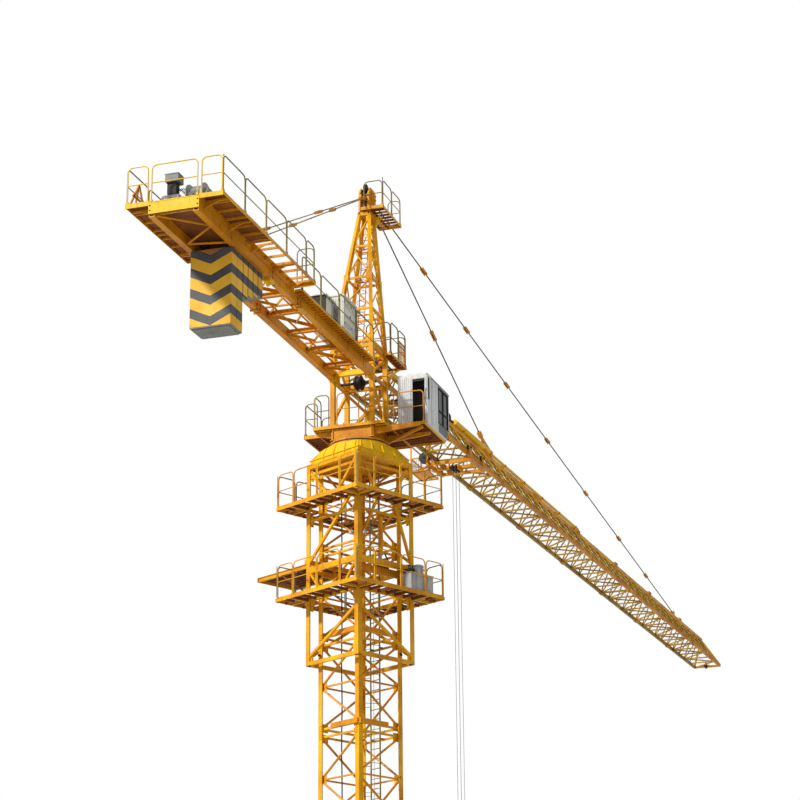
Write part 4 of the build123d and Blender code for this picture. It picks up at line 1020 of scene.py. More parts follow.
def loading_platform():
    """Runway beams with joists and a sheet, on the far left side of the cage."""
    edges, sheets, slats = forms(3, MAST_TURN)
    near, far, top = CAGE_OUTER, CAGE_OUTER + LOADING_REACH, LOADING_TOP
    middle = top - 0.035
    for x in (-LOADING_HALF + 0.02, LOADING_HALF - 0.02):
        for z in (top - 0.004, top - 0.066):
            edges.beam((x, near, z), (x, far, z), 0.04, 0.008)
        edges.beam((x, near, middle), (x, far, middle), 0.008, 0.056)
        slats.beam((x, near, LOWER_DECK + 0.02), (x, near + 0.8, top - 0.06), 0.024, 0.024)
    edges.beam((-CAGE_OUTER, near + 0.02, middle), (CAGE_OUTER, near + 0.02, middle), 0.04, 0.07)
    edges.beam((-LOADING_HALF, far - 0.006, middle), (LOADING_HALF, far - 0.006, middle), 0.012, 0.07)
    for i in range(1, LOADING_JOISTS):
        y = near + (far - near) * i / LOADING_JOISTS
        slats.beam((-LOADING_HALF + 0.03, y, top - 0.03), (LOADING_HALF - 0.03, y, top - 0.03), 0.022, 0.036)
    sheets.box((-LOADING_HALF + 0.04, near, top - 0.006), (LOADING_HALF - 0.04, far - 0.01, top))
    edges.make("loading_platform_beams", STANDING, YELLOW, "yellow_paint", ("loading_platform",))
    sheets.make("loading_platform_sheet", STANDING, DECK, "yellow_paint")
    slats.make("loading_platform_joists", STANDING, DECK, "yellow_paint")


def climbing_cage():
    """Angle columns, bars, knee beams, braces with gussets and guide rollers."""
    form, rollers, lamps = forms(3, MAST_TURN)
    top, bottom = MAST_TOP, CAGE_LOW
    for x, y in corners(CAGE_OUTER):
        form.corner_post(x, y, bottom, top, CAGE_COLUMN, CAGE_LEG_THICK)
        foot_x, foot_y = x - math.copysign(0.045, x), y - math.copysign(0.045, y)
        form.box((foot_x - 0.05, foot_y - 0.05, bottom), (foot_x + 0.045, foot_y + 0.045, bottom + 0.012))
    face = sides(CAGE_OUTER - 0.022)
    bars = (
        (bottom + 0.03, 0.04, 0.06), (top - 0.03, 0.04, 0.06), (top - 0.16, 0.03, 0.04),
        (KNEE, 0.045, 0.09), (HIP, 0.03, 0.036), (LOWER_DECK - 0.03, 0.03, 0.05),
    )
    for p, q in face:
        for z, width, height in bars:
            form.beam(at(p, z), at(q, z), width, height)
        for z in (bottom + 0.1, KNEE, HIP, LOWER_DECK - 0.12, top - 0.16):
            for share in (0.055, 0.945):
                form.gusset(p, q, share, z, *CAGE_GUSSET)
    # On each face: share along it and height over the lower deck, at both ends of a brace
    near_right, far_right, far_left, near_left = face
    braces = (
        (near_left, ((0.0, 0.53, 1.0, 1.615), (0.0, -0.94, 1.0, -0.265), (0.5, 1.46, 0.06, 1.99),
                     (0.5, 1.46, 0.94, 1.99), (0.0, 0.46, 0.28, 0.06), (0.72, 0.06, 1.0, 0.46))),
        (near_right, ((0.69, 1.40, 0.985, 0.53), (0.34, 1.40, 0.06, 0.75), (1.0, -0.94, 0.0, -0.265),
                      (0.1, 2.0, 0.32, 1.56), (0.9, 2.0, 0.68, 1.56))),
        (far_right, ((0.0, 0.53, 1.0, 1.4), (0.0, -0.94, 1.0, -0.2), (0.0, 1.56, 1.0, 2.0))),
        (far_left, ((1.0, -0.94, 0.0, -0.2), (1.0, 1.56, 0.0, 2.0))),
    )
    for (p, q), runs in braces:
        for share_a, rise_a, share_b, rise_b in runs:
            a, b = between(p, q, share_a), between(p, q, share_b)
            form.beam(at(a, LOWER_DECK + rise_a), at(b, LOWER_DECK + rise_b), *CAGE_BRACE)
    line, beside = MAST_OUTER + 0.018, MAST_HALF + 0.01
    wheel = [(0, 0.012), (0.002, 0.017), (0.03, 0.017), (0.032, 0.012)]
    for x, y in corners(1.0):
        for z in (bottom + 0.16, KNEE - 0.1, top - 0.3):
            rollers.turned((x * line, y * beside - 0.016, z), ACROSS, wheel, 14)
            rollers.turned((x * beside - 0.016, y * line, z), ALONG, wheel, 14)
    for x, y in ((-CAGE_OUTER - 0.02, -CAGE_OUTER + 0.12), (-CAGE_OUTER + 0.12, -CAGE_OUTER - 0.02)):
        lamps.post(x, y, KNEE + 0.37, KNEE + 0.41, 0.03)
        lamps.tube((x, y, KNEE + 0.41), (x, y, KNEE + 0.45), 0.006)
    form.make("climbing_cage_lattice", STANDING, YELLOW, "yellow_paint", ("climbing_cage",))
    rollers.make("climbing_cage_guide_rollers", STANDING, DARK, "dark_steel")
    lamps.make("cage_lamps", STANDING, LIGHT_GREY, "grey_paint")


def jacking_gear():
    """Hydraulic cylinder, its crossbeam on the mast and the hoses to the pump."""
    metal, paint, dark = forms(3, MAST_TURN)
    y, low, foot, head = JACK_Y, JACK_LOW, JACK_LOW + 0.31, JACK_HEAD
    for rise, width, height in ((0.006, 0.045, 0.012), (0.104, 0.045, 0.012), (0.055, 0.012, 0.09)):
        paint.beam((-MAST_OUTER, y, low + rise), (MAST_OUTER, y, low + rise), width, height)
    for x in (-0.42, -0.2, 0.0, 0.2, 0.42):
        paint.box((x - 0.005, y - 0.022, low), (x + 0.005, y + 0.022, low + 0.11))
    metal.tube((0, y, low + 0.1), (0, y, low + 0.33), JACK_ROD_R, 16)
    length, collar = head - foot, JACK_R + 0.006
    paint.turned((0, y, foot), UP, [
        (0, 0.03), (0.004, collar), (0.05, collar), (0.052, JACK_R), (length - 0.06, JACK_R),
        (length - 0.058, collar), (length, collar),
    ], 24)
    cheek = [(-0.03, -0.04), (0.05, -0.04), (0.05, 0.05), (-0.05, 0.05)]
    for x in (-0.05, 0.05):
        paint.plate([(y + dy, head + dz) for dy, dz in cheek], 0, x, 0.006)
    paint.box((-0.06, y - 0.055, head + 0.02), (0.06, y + 0.04, head + 0.045))
    shoe = [(-0.02, 0.1), (0.02, 0.1), (0.02, 0.2), (0, 0.24), (-0.02, 0.2)]
    for x in (-0.10, 0.10):
        dark.plate([(y + dy, low + dz) for dy, dz in shoe], 0, x, 0.02)
        dark.bolt((x, y - 0.022, low + 0.17), (0, -1, 0), 0.02)
    dark.box((-0.14, y - 0.03, low + 0.11), (0.14, y + 0.02, low + 0.15))
    for shift in (0.0, 0.03):
        points = []
        for k in range(HOSE_STEPS + 1):
            share = k / HOSE_STEPS
            sag = math.sin(math.pi * share) * (0.12 + shift)
            hose_y = y - 0.04 - 0.10 * share - shift * 0.5
            points.append((0.03 + 0.22 * share, hose_y, foot + 0.02 - 0.22 * share - sag * 0.6))
        dark.pipe(points, HOSE_R, 7)
    paint.make("climbing_jack_cylinder_and_beam", STANDING, YELLOW, "yellow_paint", ("climbing_jack",))
    metal.make("climbing_jack_rod", STANDING, LIGHT_GREY, "galvanised")
    dark.make("climbing_jack_shoes_and_hoses", STANDING, DARK, "dark_steel")


def pump_unit():
    """Hydraulic tank with ribs, lid, motor, filler cap, gauge and valve block."""
    tank, trim = forms(2, MAST_TURN)
    x0, x1 = TANK_X
    y0, y1 = -DECK_HALF + 0.051, -CAGE_OUTER - 0.028
    low, high, middle = LOWER_DECK, TANK_HIGH, (y0 + y1) / 2
    tank.box((x0, y0, low + 0.03), (x1, y1, high - TANK_LID))
    tank.box((x0 - 0.008, y0 - 0.008, high - TANK_LID), (x1 + 0.008, y1 + 0.008, high))
    for x in (x0 + 0.03, x1 - 0.03):
        tank.box((x - 0.02, y0, low), (x + 0.02, y1, low + 0.03))
    for k in (1, 2, 3):
        x = x0 + (x1 - x0) * k / 4
        tank.beam((x, y0 - 0.004, low + 0.05), (x, y0 - 0.004, high - 0.03), 0.012, 0.012)
    tank.turned((x0 + 0.26, middle, high), UP, [
        (0, 0.095), (0.012, 0.1), (0.02, PUMP_R), (0.13, PUMP_R), (0.134, 0.092), (0.152, 0.092),
        (0.165, 0.06),
    ], 28)
    for c, s in around(12):
        tank.post(x0 + 0.26 + 0.086 * c, middle + 0.086 * s, high + 0.022, high + 0.128, 0.004)
    trim.box((x0 + 0.02, middle - 0.07, high), (x0 + 0.13, middle + 0.07, high + 0.07))
    knob = [(0, 0.008), (0.003, 0.013), (0.012, 0.013), (0.018, 0.005)]
    for k in range(3):
        x, y = x0 + 0.035 + k * 0.04, middle - 0.03
        trim.tube((x, y, high + 0.07), (x, y, high + 0.115), 0.007)
        trim.turned((x, y, high + 0.115), UP, knob, 12)
    filler = [(0, 0.03), (0.02, 0.03), (0.022, 0.037), (0.045, 0.037), (0.05, 0.03)]
    trim.turned((x0 + 0.41, middle, high), UP, filler, 18)
    tank.make("hydraulic_tank_and_motor", STANDING, LIGHT_GREY, "grey_paint", ("hydraulic_power_unit",))
    trim.make("hydraulic_valves_and_caps", STANDING, DARK, "dark_steel")


# Slewing base and ring

def seat_point(turn, z):
    """Point on the rounded square where the base's sloping plates end."""
    spread = abs(math.cos(turn)) ** SEAT_POWER + abs(math.sin(turn)) ** SEAT_POWER
    reach = SEAT_R / spread ** (1 / SEAT_POWER)
    return (reach * math.cos(turn), reach * math.sin(turn), z)


def slewing_base():
    """Ribbed skirt on the mast, sloping plates up to a round bolted flange."""
    form, ribs, pads = forms(3, MAST_TURN)
    low, high = MAST_TOP, SEAT - SEAT_PLATE
    form.box((-BASE_HALF, -BASE_HALF, low), (BASE_HALF, BASE_HALF, SKIRT_TOP))
    edge = [between(p, q, i / BASE_STEPS) for p, q in sides(BASE_HALF) for i in range(BASE_STEPS)]
    form.prism([at(spot, SKIRT_TOP) for spot in edge],
               [seat_point(math.atan2(y, x), SEAT - 0.02) for x, y in edge])
    form.turned((0, 0, high), UP, [(0, SEAT_R + 0.006), (SEAT_PLATE, SEAT_R + 0.006)], 96)
    bands = ((low - 0.03, 0.012, 0.075), (low - 0.062, 0.03, 0.014), (SKIRT_TOP - 0.006, 0.016, 0.012))
    for p, q in sides(BASE_HALF + 0.006):
        for z, width, height in bands:
            ribs.beam(at(p, z), at(q, z), width, height)
        for i in range(BASE_RIBS):
            spot = between(p, q, 0.06 + 0.22 * i)
            ribs.beam(at(spot, low), at(spot, SKIRT_TOP), 0.012, 0.012)
            ribs.beam(at(spot, SKIRT_TOP), seat_point(math.atan2(spot[1], spot[0]), high), 0.010, 0.022)
    for c, s in around(SEAT_BOLTS, 0.5):
        ribs.bolt((SEAT_BOLTS_R * c, SEAT_BOLTS_R * s, SEAT), UP, 0.011)
    for x, y in corners(MAST_HALF):
        pads.post(x, y, low - 0.02, low, 0.07)
    for x, y in corners(CAGE_HALF):
        pads.post(x, y, low - 0.014, low + 0.02, 0.035)
    form.make("slewing_base_plates", STANDING, BRIGHT, "yellow_paint", ("slewing_base",))
    ribs.make("slewing_base_ribs_and_bolts", STANDING, BRIGHT, "yellow_paint")
    pads.make("slewing_base_pads", STANDING, ORANGE_AND_SHADE, "yellow_paint")


def slewing_ring():
    """Outer ring with its seal groove and bolt circle."""
    ring, bolts, seal = forms(3)
    depth, eased, groove = RING_HIGH - RING_LOW, RING_R - 0.003, RING_R - 0.01
    ring.turned((0, 0, RING_LOW), UP, [
        (0, eased), (0.004, RING_R), (0.03, RING_R), (0.032, groove), (0.043, groove), (0.045, RING_R),
        (depth - 0.004, RING_R), (depth, eased),
    ], 128)
    for c, s in around(RING_BOLTS):
        bolts.bolt((RING_BOLTS_R * c, RING_BOLTS_R * s, RING_HIGH - 0.001), UP, 0.010)
    lip = RING_R + 0.0015
    seal.turned((0, 0, RING_LOW + 0.028), UP, [(0, eased), (0, lip), (0.019, lip), (0.019, eased)], 128)
    seal.make("slewing_ring_seal", STANDING, DARK, "dark_steel")
    ring.make("slewing_ring_outer_race", STANDING, ORANGE_AND_SHADE, "dark_steel", ("slewing_ring",))
    bolts.make("slewing_ring_bolts", STANDING, LIGHT_GREY, "galvanised")


# Slewing platform, rails and tower

def slewing_frame():
    """Box frame of deep plated beams with stiffeners, over the inner race, and the deck on it."""
    form, ribs = forms(2)
    parts = forms(3)
    edges = parts[0]
    half, well, high = FRAME_HALF, FRAME_WELL, FRAME_HIGH
    for a, b in (((-half, -half), (half, -well)), ((-half, well), (half, half)),
                 ((-half, -well), (-well, well)), ((well, -well), (half, well))):
        form.box((*a, FRAME_LOW + 0.01), (*b, high - 0.008))
    for p, q in sides(half + 0.006):
        for z in (FRAME_LOW + 0.006, high - 0.008):
            ribs.beam(at(p, z), at(q, z), 0.03, 0.012)
        for share in (0.04, 0.96):
            spot = between(p, q, share)
            ribs.beam(at(spot, FRAME_LOW), at(spot, high - 0.01), 0.012, 0.02)
    form.turned((0, 0, FRAME_LOW - 0.075), UP, [(0, RACE_R - 0.005), (0.004, RACE_R), (0.076, RACE_R)], 96)
    for y in (0.25, -0.25):
        outline = [(half, FRAME_LOW + 0.05), (half, high - 0.05), (0.9, high - 0.05), (0.9, high - 0.10)]
        form.plate(outline, 1, y, 0.02)
    for y0, y1 in ((half, DECK_LEFT - 0.02), (-half, CAB_DECK[2] + 0.03)):
        outline = [(y0, FRAME_LOW + 0.06), (y0, high - 0.045), (y1, high - 0.045), (y1, high - 0.09)]
        for x in (-0.25, 0.25):
            form.plate(outline, 0, x, 0.02)
    form.make("slewing_frame_plates", TURNING, ORANGE_AND_SHADE, "yellow_paint", ("slewing_platform",))
    ribs.make("slewing_frame_flanges", TURNING, ORANGE_AND_SHADE, "yellow_paint")
    outer, back = TOWER_OUTER, -TOWER_OUTER + 0.05
    open_deck(parts, DECK_REAR, back, DECK_RIGHT, DECK_LEFT, DECK_Z, 0.045)
    open_deck(parts, back, outer, outer, DECK_LEFT, DECK_Z)
    open_deck(parts, back, outer, DECK_RIGHT, -outer, DECK_Z)
    open_deck(parts, outer, DECK_FRONT, DECK_RIGHT, DECK_LEFT, DECK_Z)
    open_deck(parts, *WING, DECK_Z, cover=(0.0, 0.8))
    open_deck(parts, *CAB_DECK, DECK_Z, 0.045, 0.11, 0, (0.42, 1.0))
    for rear, y0, y1 in ((DECK_REAR, DECK_RIGHT, DECK_LEFT), (CAB_DECK[0], CAB_DECK[2], DECK_RIGHT)):
        edges.box((rear - 0.004, y0, DECK_Z - 0.045), (rear + 0.006, y1, DECK_Z + 0.008))
    edges.beam((0.30, -half, FRAME_LOW + 0.07), (-0.06, CAB_DECK[2] + 0.05, DECK_Z - 0.07), 0.03, 0.04)
    make_deck("slewing_deck", TURNING, parts)


def slewing_rails():
    """Bent panels on the rear left deck, the wing, the front and before the cab's door."""
    form, panel = forms(2)
    rear, left, front = DECK_REAR + RAIL_FOOT, DECK_LEFT - RAIL_FOOT, DECK_FRONT - RAIL_FOOT
    back, ahead, out = WING[0] + RAIL_FOOT, WING[1] - RAIL_FOOT, WING[3] - RAIL_FOOT
    rail_line(form, [(rear, 0.367), (rear, left), (back, left)], DECK_Z)
    rail_line(form, [(back, 0.677), (back, out), (ahead, out), (ahead, 0.677)], DECK_Z)
    rail_line(form, [(front, left), (front, 0.0)], DECK_Z, 2)
    for y0, y1 in ((0.25, -0.13), (-0.22, -0.53)):
        rail_line(panel, [(rear - 0.009, y0), (rear - 0.009, y1)], DECK_Z)
    door = CAB_DECK[0] + RAIL_FOOT
    rail_line(panel, [(door, -0.587), (door, CAB_DECK[2] + RAIL_FOOT)], DECK_Z)
    form.make("slewing_deck_rails", TURNING, RAIL, "galvanised", ("slewing_rails",))
    panel.make("cab_deck_rail", TURNING, YELLOW, "galvanised")


def slewing_tower():
    """Four box columns with bars, diagonals, gussets and the counter-jib's cross beam."""
    form, root = forms(2)
    half = TOWER_COLUMN / 2
    for x, y in corners(TOWER_HALF):
        form.post(x, y, FRAME_HIGH, TOWER_TOP - 0.001, half)
        for z in (TOWER_TOP - 0.35, DECK_Z + 0.02):
            form.post(x, y, z - 0.012, z, half + 0.012)
    gussets = (
        (0.92, FRAME_HIGH + 0.12), (0.08, WHEEL_Z - 0.06), (0.92, WHEEL_Z + 0.02), (0.08, TOWER_TOP - 0.08),
    )
    for number, (p, q) in enumerate(sides(TOWER_HALF)):
        form.beam(at(p, TOWER_TOP - 0.036), at(q, TOWER_TOP - 0.036), 0.05, 0.06)
        if number != 3:
            form.beam(at(p, WHEEL_Z), at(q, WHEEL_Z), 0.04, 0.05)
        form.beam(at(q, FRAME_HIGH + 0.08), at(p, WHEEL_Z - 0.05), 0.036, 0.044)
        form.beam(at(p, WHEEL_Z + 0.04), at(q, TOWER_TOP - 0.07), 0.03, 0.036)
        for share, z in gussets:
            form.gusset(p, q, share, z, 0.13, 0.15)
    form.make("slewing_tower_lattice", TURNING, YELLOW, "yellow_paint", ("slewing_tower",))
    x = COUNTER_ROOT + 0.018
    root.beam((x, -0.286, ROOT_Z + 0.045), (x, 0.286, ROOT_Z + 0.045), 0.04, 0.085)
    root.beam((x, -0.286, ROOT_Z), (x, 0.286, ROOT_Z), 0.07, 0.01)
    for y in (-CHORD_Y, CHORD_Y):
        root.box((COUNTER_ROOT - 0.02, y - 0.055, ROOT_Z - 0.07),
                 (COUNTER_ROOT + 0.04, y + 0.055, ROOT_Z + 0.105))
        for z in (ROOT_Z - 0.035, ROOT_Z + 0.065):
            for side in (-1, 1):
                root.bolt((COUNTER_ROOT - 0.008, y + side * 0.055, z), (0, side, 0), 0.018)
    root.make("counter_jib_root_beam", TURNING, BRIGHT, "yellow_paint")


def grooved_wheel(form, centre, radius, width):
    """A rope wheel across the crane, with flanges, a groove and a hub."""
    start, groove, hub = Vector(centre) - Vector(ACROSS) * width / 2, radius * 0.86, radius * 0.24
    form.turned(start, ACROSS, [
        (0, radius * 0.94), (width * 0.04, radius), (width * 0.16, radius), (width * 0.3, groove),
        (width * 0.7, groove), (width * 0.84, radius), (width * 0.96, radius), (width, radius * 0.94),
    ], 40)
    form.turned(start - Vector(ACROSS) * width * 0.15, ACROSS, [
        (0, radius * 0.2), (width * 0.05, hub), (width * 1.25, hub), (width * 1.3, radius * 0.2),
    ], 20)


def rope_wheels():
    """Wheels on their axles: in the slewing tower, on the head's cap and in the jib's nose."""
    form = Form()
    grooved_wheel(form, (0, 0, WHEEL_Z), TOWER_WHEEL_R, 0.10)
    form.axle((0, 0, WHEEL_Z), 0.297, 0.022, 16)
    for y in (-0.075, 0.075):
        form.box((-0.05, y - 0.012, WHEEL_Z - 0.05), (0.05, y + 0.012, WHEEL_Z + 0.05))
    grooved_wheel(form, HEAD_WHEEL, HEAD_WHEEL_R, 0.036)
    form.axle(HEAD_WHEEL, 0.062, 0.018, 14)
    nose = jib_at(NOSE_WHEEL_X, 0, 0)
    grooved_wheel(form, nose, NOSE_WHEEL_R, 0.036)
    form.axle(nose, 0.06, 0.016, 14)
    form.make("rope_wheels", TURNING, DARK, "dark_steel", ("rope_sheaves",))


# Cab

def cab_walls():
    """Sheet-metal walls, floor and roof round the openings of the door and the windows."""
    walls = Form()
    rear, front, floor, roof, ridge, heel = CAB_REAR, CAB_FRONT, DECK_Z, CAB_ROOF, CAB_RIDGE, CAB_HEEL
    right, left, slant, knee = CAB_INNER_RIGHT, CAB_INNER_LEFT, DECK_Z + SLANT_Z, CAB_FRONT - 0.029
    skins = (
        [(rear, floor), (WINDOW_REAR, floor), (WINDOW_REAR, roof), (rear + CAB_EDGE, roof), (rear, ridge)],
        [(WINDOW_REAR, floor), (heel, floor), (knee, WINDOW_LOW), (WINDOW_REAR, WINDOW_LOW)],
        [(knee, WINDOW_LOW), (front, slant), (front, ridge), (front - CAB_EDGE, roof),
         (WINDOW_FRONT, roof), (WINDOW_FRONT, WINDOW_LOW)],
        [(WINDOW_REAR, WINDOW_HIGH), (WINDOW_FRONT, WINDOW_HIGH), (WINDOW_FRONT, roof), (WINDOW_REAR, roof)],
    )
    for y0, y1 in ((CAB_RIGHT, right), (left, CAB_LEFT)):
        for outline in skins:
            walls.slab(outline, 1, y0, y1)
    pane = [(WINDOW_REAR, WINDOW_LOW), (WINDOW_FRONT, WINDOW_LOW),
            (WINDOW_FRONT, WINDOW_HIGH), (WINDOW_REAR, WINDOW_HIGH)]
    walls.slab(pane, 1, left + 0.004, CAB_LEFT - 0.004)
    for y0, y1, z0, z1 in (
        (right, DOOR_RIGHT, floor, ridge), (DOOR_LEFT, left, floor, ridge),
        (DOOR_RIGHT, DOOR_LEFT, DOOR_LINTEL, ridge), (DOOR_RIGHT, DOOR_LEFT, floor, DOOR_SILL),
    ):
        walls.box((rear, y0, z0), (rear + CAB_WALL, y1, z1))
    walls.slab([
        (rear, ridge), (rear + CAB_EDGE, roof), (front - CAB_EDGE, roof), (front, ridge),
        (front - CAB_EDGE, roof - CAB_WALL), (rear + CAB_EDGE, roof - CAB_WALL),
    ], 1, right, left)
    walls.box((rear + CAB_WALL, right, floor), (heel, left, floor + CAB_WALL))
    walls.slab([(heel, floor), (front, slant), (front - 0.02, slant), (heel - 0.02, floor)], 1, right, left)
    for y0, y1, z0, z1 in (
        (right, left, slant, PANE_LOW), (right, left, PANE_HIGH, ridge),
        (right, CAB_RIGHT + PANE_INSET + 0.001, PANE_LOW, PANE_HIGH),
        (CAB_LEFT - PANE_INSET - 0.001, left, PANE_LOW, PANE_HIGH),
    ):
        walls.box((front - CAB_WALL, y0, z0), (front, y1, z1))
    walls.make("cab_walls", TURNING, WHITE, "cab_paint", ("cab_shell",), 0.003)


def cab_fittings():
    """Ribs, door leaf, gutters and roof unit, and the dark frames, wiper and handles."""
    trim, dark = forms(2)
    rear, front, right, left, floor, roof = CAB_REAR, CAB_FRONT, CAB_RIGHT, CAB_LEFT, DECK_Z, CAB_ROOF
    for k in range(5):
        y = DOOR_LEFT + 0.03 + k * 0.034
        trim.box((rear - 0.008, y - 0.008, floor + 0.05), (rear, y + 0.008, roof - 0.06))
    trim.box((rear - 0.010, right + 0.004, floor + 0.02), (rear, right + 0.02, roof - 0.03))
    trim.box((rear - 0.004, right - 0.012, floor + 0.02), (rear + 0.20, right, roof - 0.016))
    gutter = CAB_INNER_RIGHT - 0.02
    trim.box((rear - 0.012, gutter, roof - 0.04), (front + 0.008, gutter - 0.01, roof - 0.024))
    trim.box((rear - 0.012, right - 0.006, roof - 0.036), (front + 0.004, right, roof - 0.02))
    for x in (rear + 0.30, rear + 0.45):
        trim.box((x - 0.004, right - 0.004, floor + 0.02), (x + 0.004, right, roof - 0.04))
    trim.box((rear + 0.15, right + 0.12, roof - 0.004), (rear + 0.45, left - 0.1, roof + 0.05))
    dark.box((rear + 0.03, right - 0.015, floor + 0.42), (rear + 0.10, right - 0.011, roof - 0.07))
    dark.box((rear + 0.195, right - 0.013, floor + 0.03), (rear + 0.203, right - 0.002, roof - 0.03))
    x0, x1, z0, z1, rim = WINDOW_REAR, WINDOW_FRONT, WINDOW_LOW, WINDOW_HIGH, WINDOW_FRAME
    middle = (x0 + x1) / 2
    for a, b, low, high in (
        (x0 - rim, x1 + rim, z1, z1 + rim), (x0 - rim, x1 + rim, z0 - rim, z0), (x0 - rim, x0, z0, z1),
        (x1, x1 + rim, z0, z1), (middle - 0.008, middle + 0.008, z0, z1), (x0, x1, z0 + 0.20, z0 + 0.212),
    ):
        dark.box((a, right - 0.007, low), (b, right + 0.016, high))
    for a, b, low, high in (
        (CAB_INNER_RIGHT, CAB_INNER_LEFT, PANE_HIGH - 0.012, PANE_HIGH + 0.006),
        (CAB_INNER_RIGHT, CAB_INNER_LEFT, PANE_LOW - 0.006, PANE_LOW + 0.012),
        (right + PANE_INSET, right + PANE_INSET + 0.015, PANE_LOW, PANE_HIGH),
        (left - PANE_INSET - 0.015, left - PANE_INSET, PANE_LOW, PANE_HIGH),
    ):
        dark.box((front - CAB_WALL, a, low), (front + 0.006, b, high))
    wiper = [(front + 0.008, -0.87, PANE_LOW), (front + 0.012, -0.85, PANE_LOW + 0.2),
             (front + 0.012, -0.79, PANE_LOW + 0.34)]
    dark.pipe(wiper, HANDLE_R, 6)
    for y in (DOOR_LEFT + 0.012, DOOR_RIGHT - 0.03):
        handle = [(0.002, 0.3), (0.035, 0.32), (0.035, 0.56), (0.002, 0.58)]
        dark.pipe([(rear - reach, y, floor + rise) for reach, rise in handle], HANDLE_R, 6)
    for k in range(6):
        x = rear + 0.17 + k * 0.045
        dark.box((x, right + 0.115, roof + 0.008), (x + 0.025, left - 0.095, roof + 0.04))
    trim.make("cab_ribs_and_gutter", TURNING, WHITE, "cab_paint")
    dark.make("cab_frames_and_handles", TURNING, DARK, "dark_steel")


def cab_glass():
    """Panes of the right side and the front, and the strip under the side window."""
    glass = Form()
    right, foot, sill = CAB_RIGHT, DECK_Z + 0.05, WINDOW_LOW - 0.03
    glass.box((WINDOW_REAR, right + 0.007, WINDOW_LOW), (WINDOW_FRONT, right + 0.015, WINDOW_HIGH))
    strip = [(WINDOW_REAR, foot), (CAB_HEEL + 0.015, foot), (WINDOW_FRONT + 0.01, sill), (WINDOW_REAR, sill)]
    glass.slab(strip, 1, right - 0.004, right)
    near, far = (CAB_FRONT - 0.017, right + PANE_INSET), (CAB_FRONT - 0.007, CAB_LEFT - PANE_INSET)
    glass.box(at(near, PANE_LOW), at(far, PANE_HIGH))
    glass.make("cab_windows", TURNING, GLAZING, "cab_glazing", ("cab_glass",))


def cab_inside():
    """Back panel, seat, two consoles with levers and the seat's foot."""
    inside = Form()
    rear, floor = CAB_REAR, DECK_Z
    inside.box((rear + 0.30, DOOR_RIGHT, DOOR_SILL), (rear + 0.312, CAB_LEFT - 0.05, CAB_RIDGE))
    inside.box((rear + 0.42, -0.99, floor + 0.16), (rear + 0.66, -0.75, floor + 0.24))
    back = [(0.42, 0.24), (0.48, 0.24), (0.42, 0.55), (0.38, 0.55)]
    inside.slab([(rear + x, floor + z) for x, z in back], 1, -0.98, -0.76)
    for y in (-1.03, -0.71):
        inside.box((rear + 0.48, y - 0.035, floor + 0.024), (rear + 0.72, y + 0.035, floor + 0.33))
        inside.tube((rear + 0.66, y, floor + 0.33), (rear + 0.68, y, floor + 0.41), 0.008)
    inside.box((rear + 0.47, -0.95, floor + 0.024), (rear + 0.60, -0.79, floor + 0.16))
    inside.make("cab_seat_and_console", TURNING, DARK, "dark_steel")


# Tower head

def leg_point(index, share):
    """Point on one of the head's leaning legs, from its foot at 0 to the cap at 1."""
    foot = corners(TOWER_HALF)[index]
    head = (HEAD_REAR if foot[0] < 0 else HEAD_FRONT, math.copysign(HEAD_HALF, foot[1]))
    return between(at(foot, TOWER_TOP), at(head, HEAD_TOP), share)


def tower_head():
    """Leaning box legs with rings, crossing diagonals and gussets."""
    form = Form()
    for index in range(4):
        other = (index + 1) % 4
        form.beam(leg_point(index, 0), leg_point(index, 1), 0.058)
        for level in HEAD_LEVELS:
            form.beam(leg_point(index, level), leg_point(other, level), 0.024, 0.036)
        for number, (low, high) in enumerate(zip(HEAD_LEVELS, HEAD_LEVELS[1:])):
            a, b = (index, other) if number % 2 else (other, index)
            form.tube(leg_point(a, low + 0.015), leg_point(b, high - 0.015), 0.013)
            form.tube(leg_point(b, low + 0.015), between(leg_point(b, low), leg_point(a, high), 0.49), 0.010)
            for leg, mate, level in ((a, b, low + 0.02), (b, a, high - 0.02)):
                spot = leg_point(leg, level)
                form.gusset(spot[:2], leg_point(mate, level)[:2], 0.10, spot[2], 0.07, 0.1)
        x, y, z = leg_point(index, 0.5)
        form.beam((x, y, z - 0.06), (x, y, z + 0.06), 0.075)
    form.make("tower_head_lattice", TURNING, YELLOW, "yellow_paint", ("tower_head",))


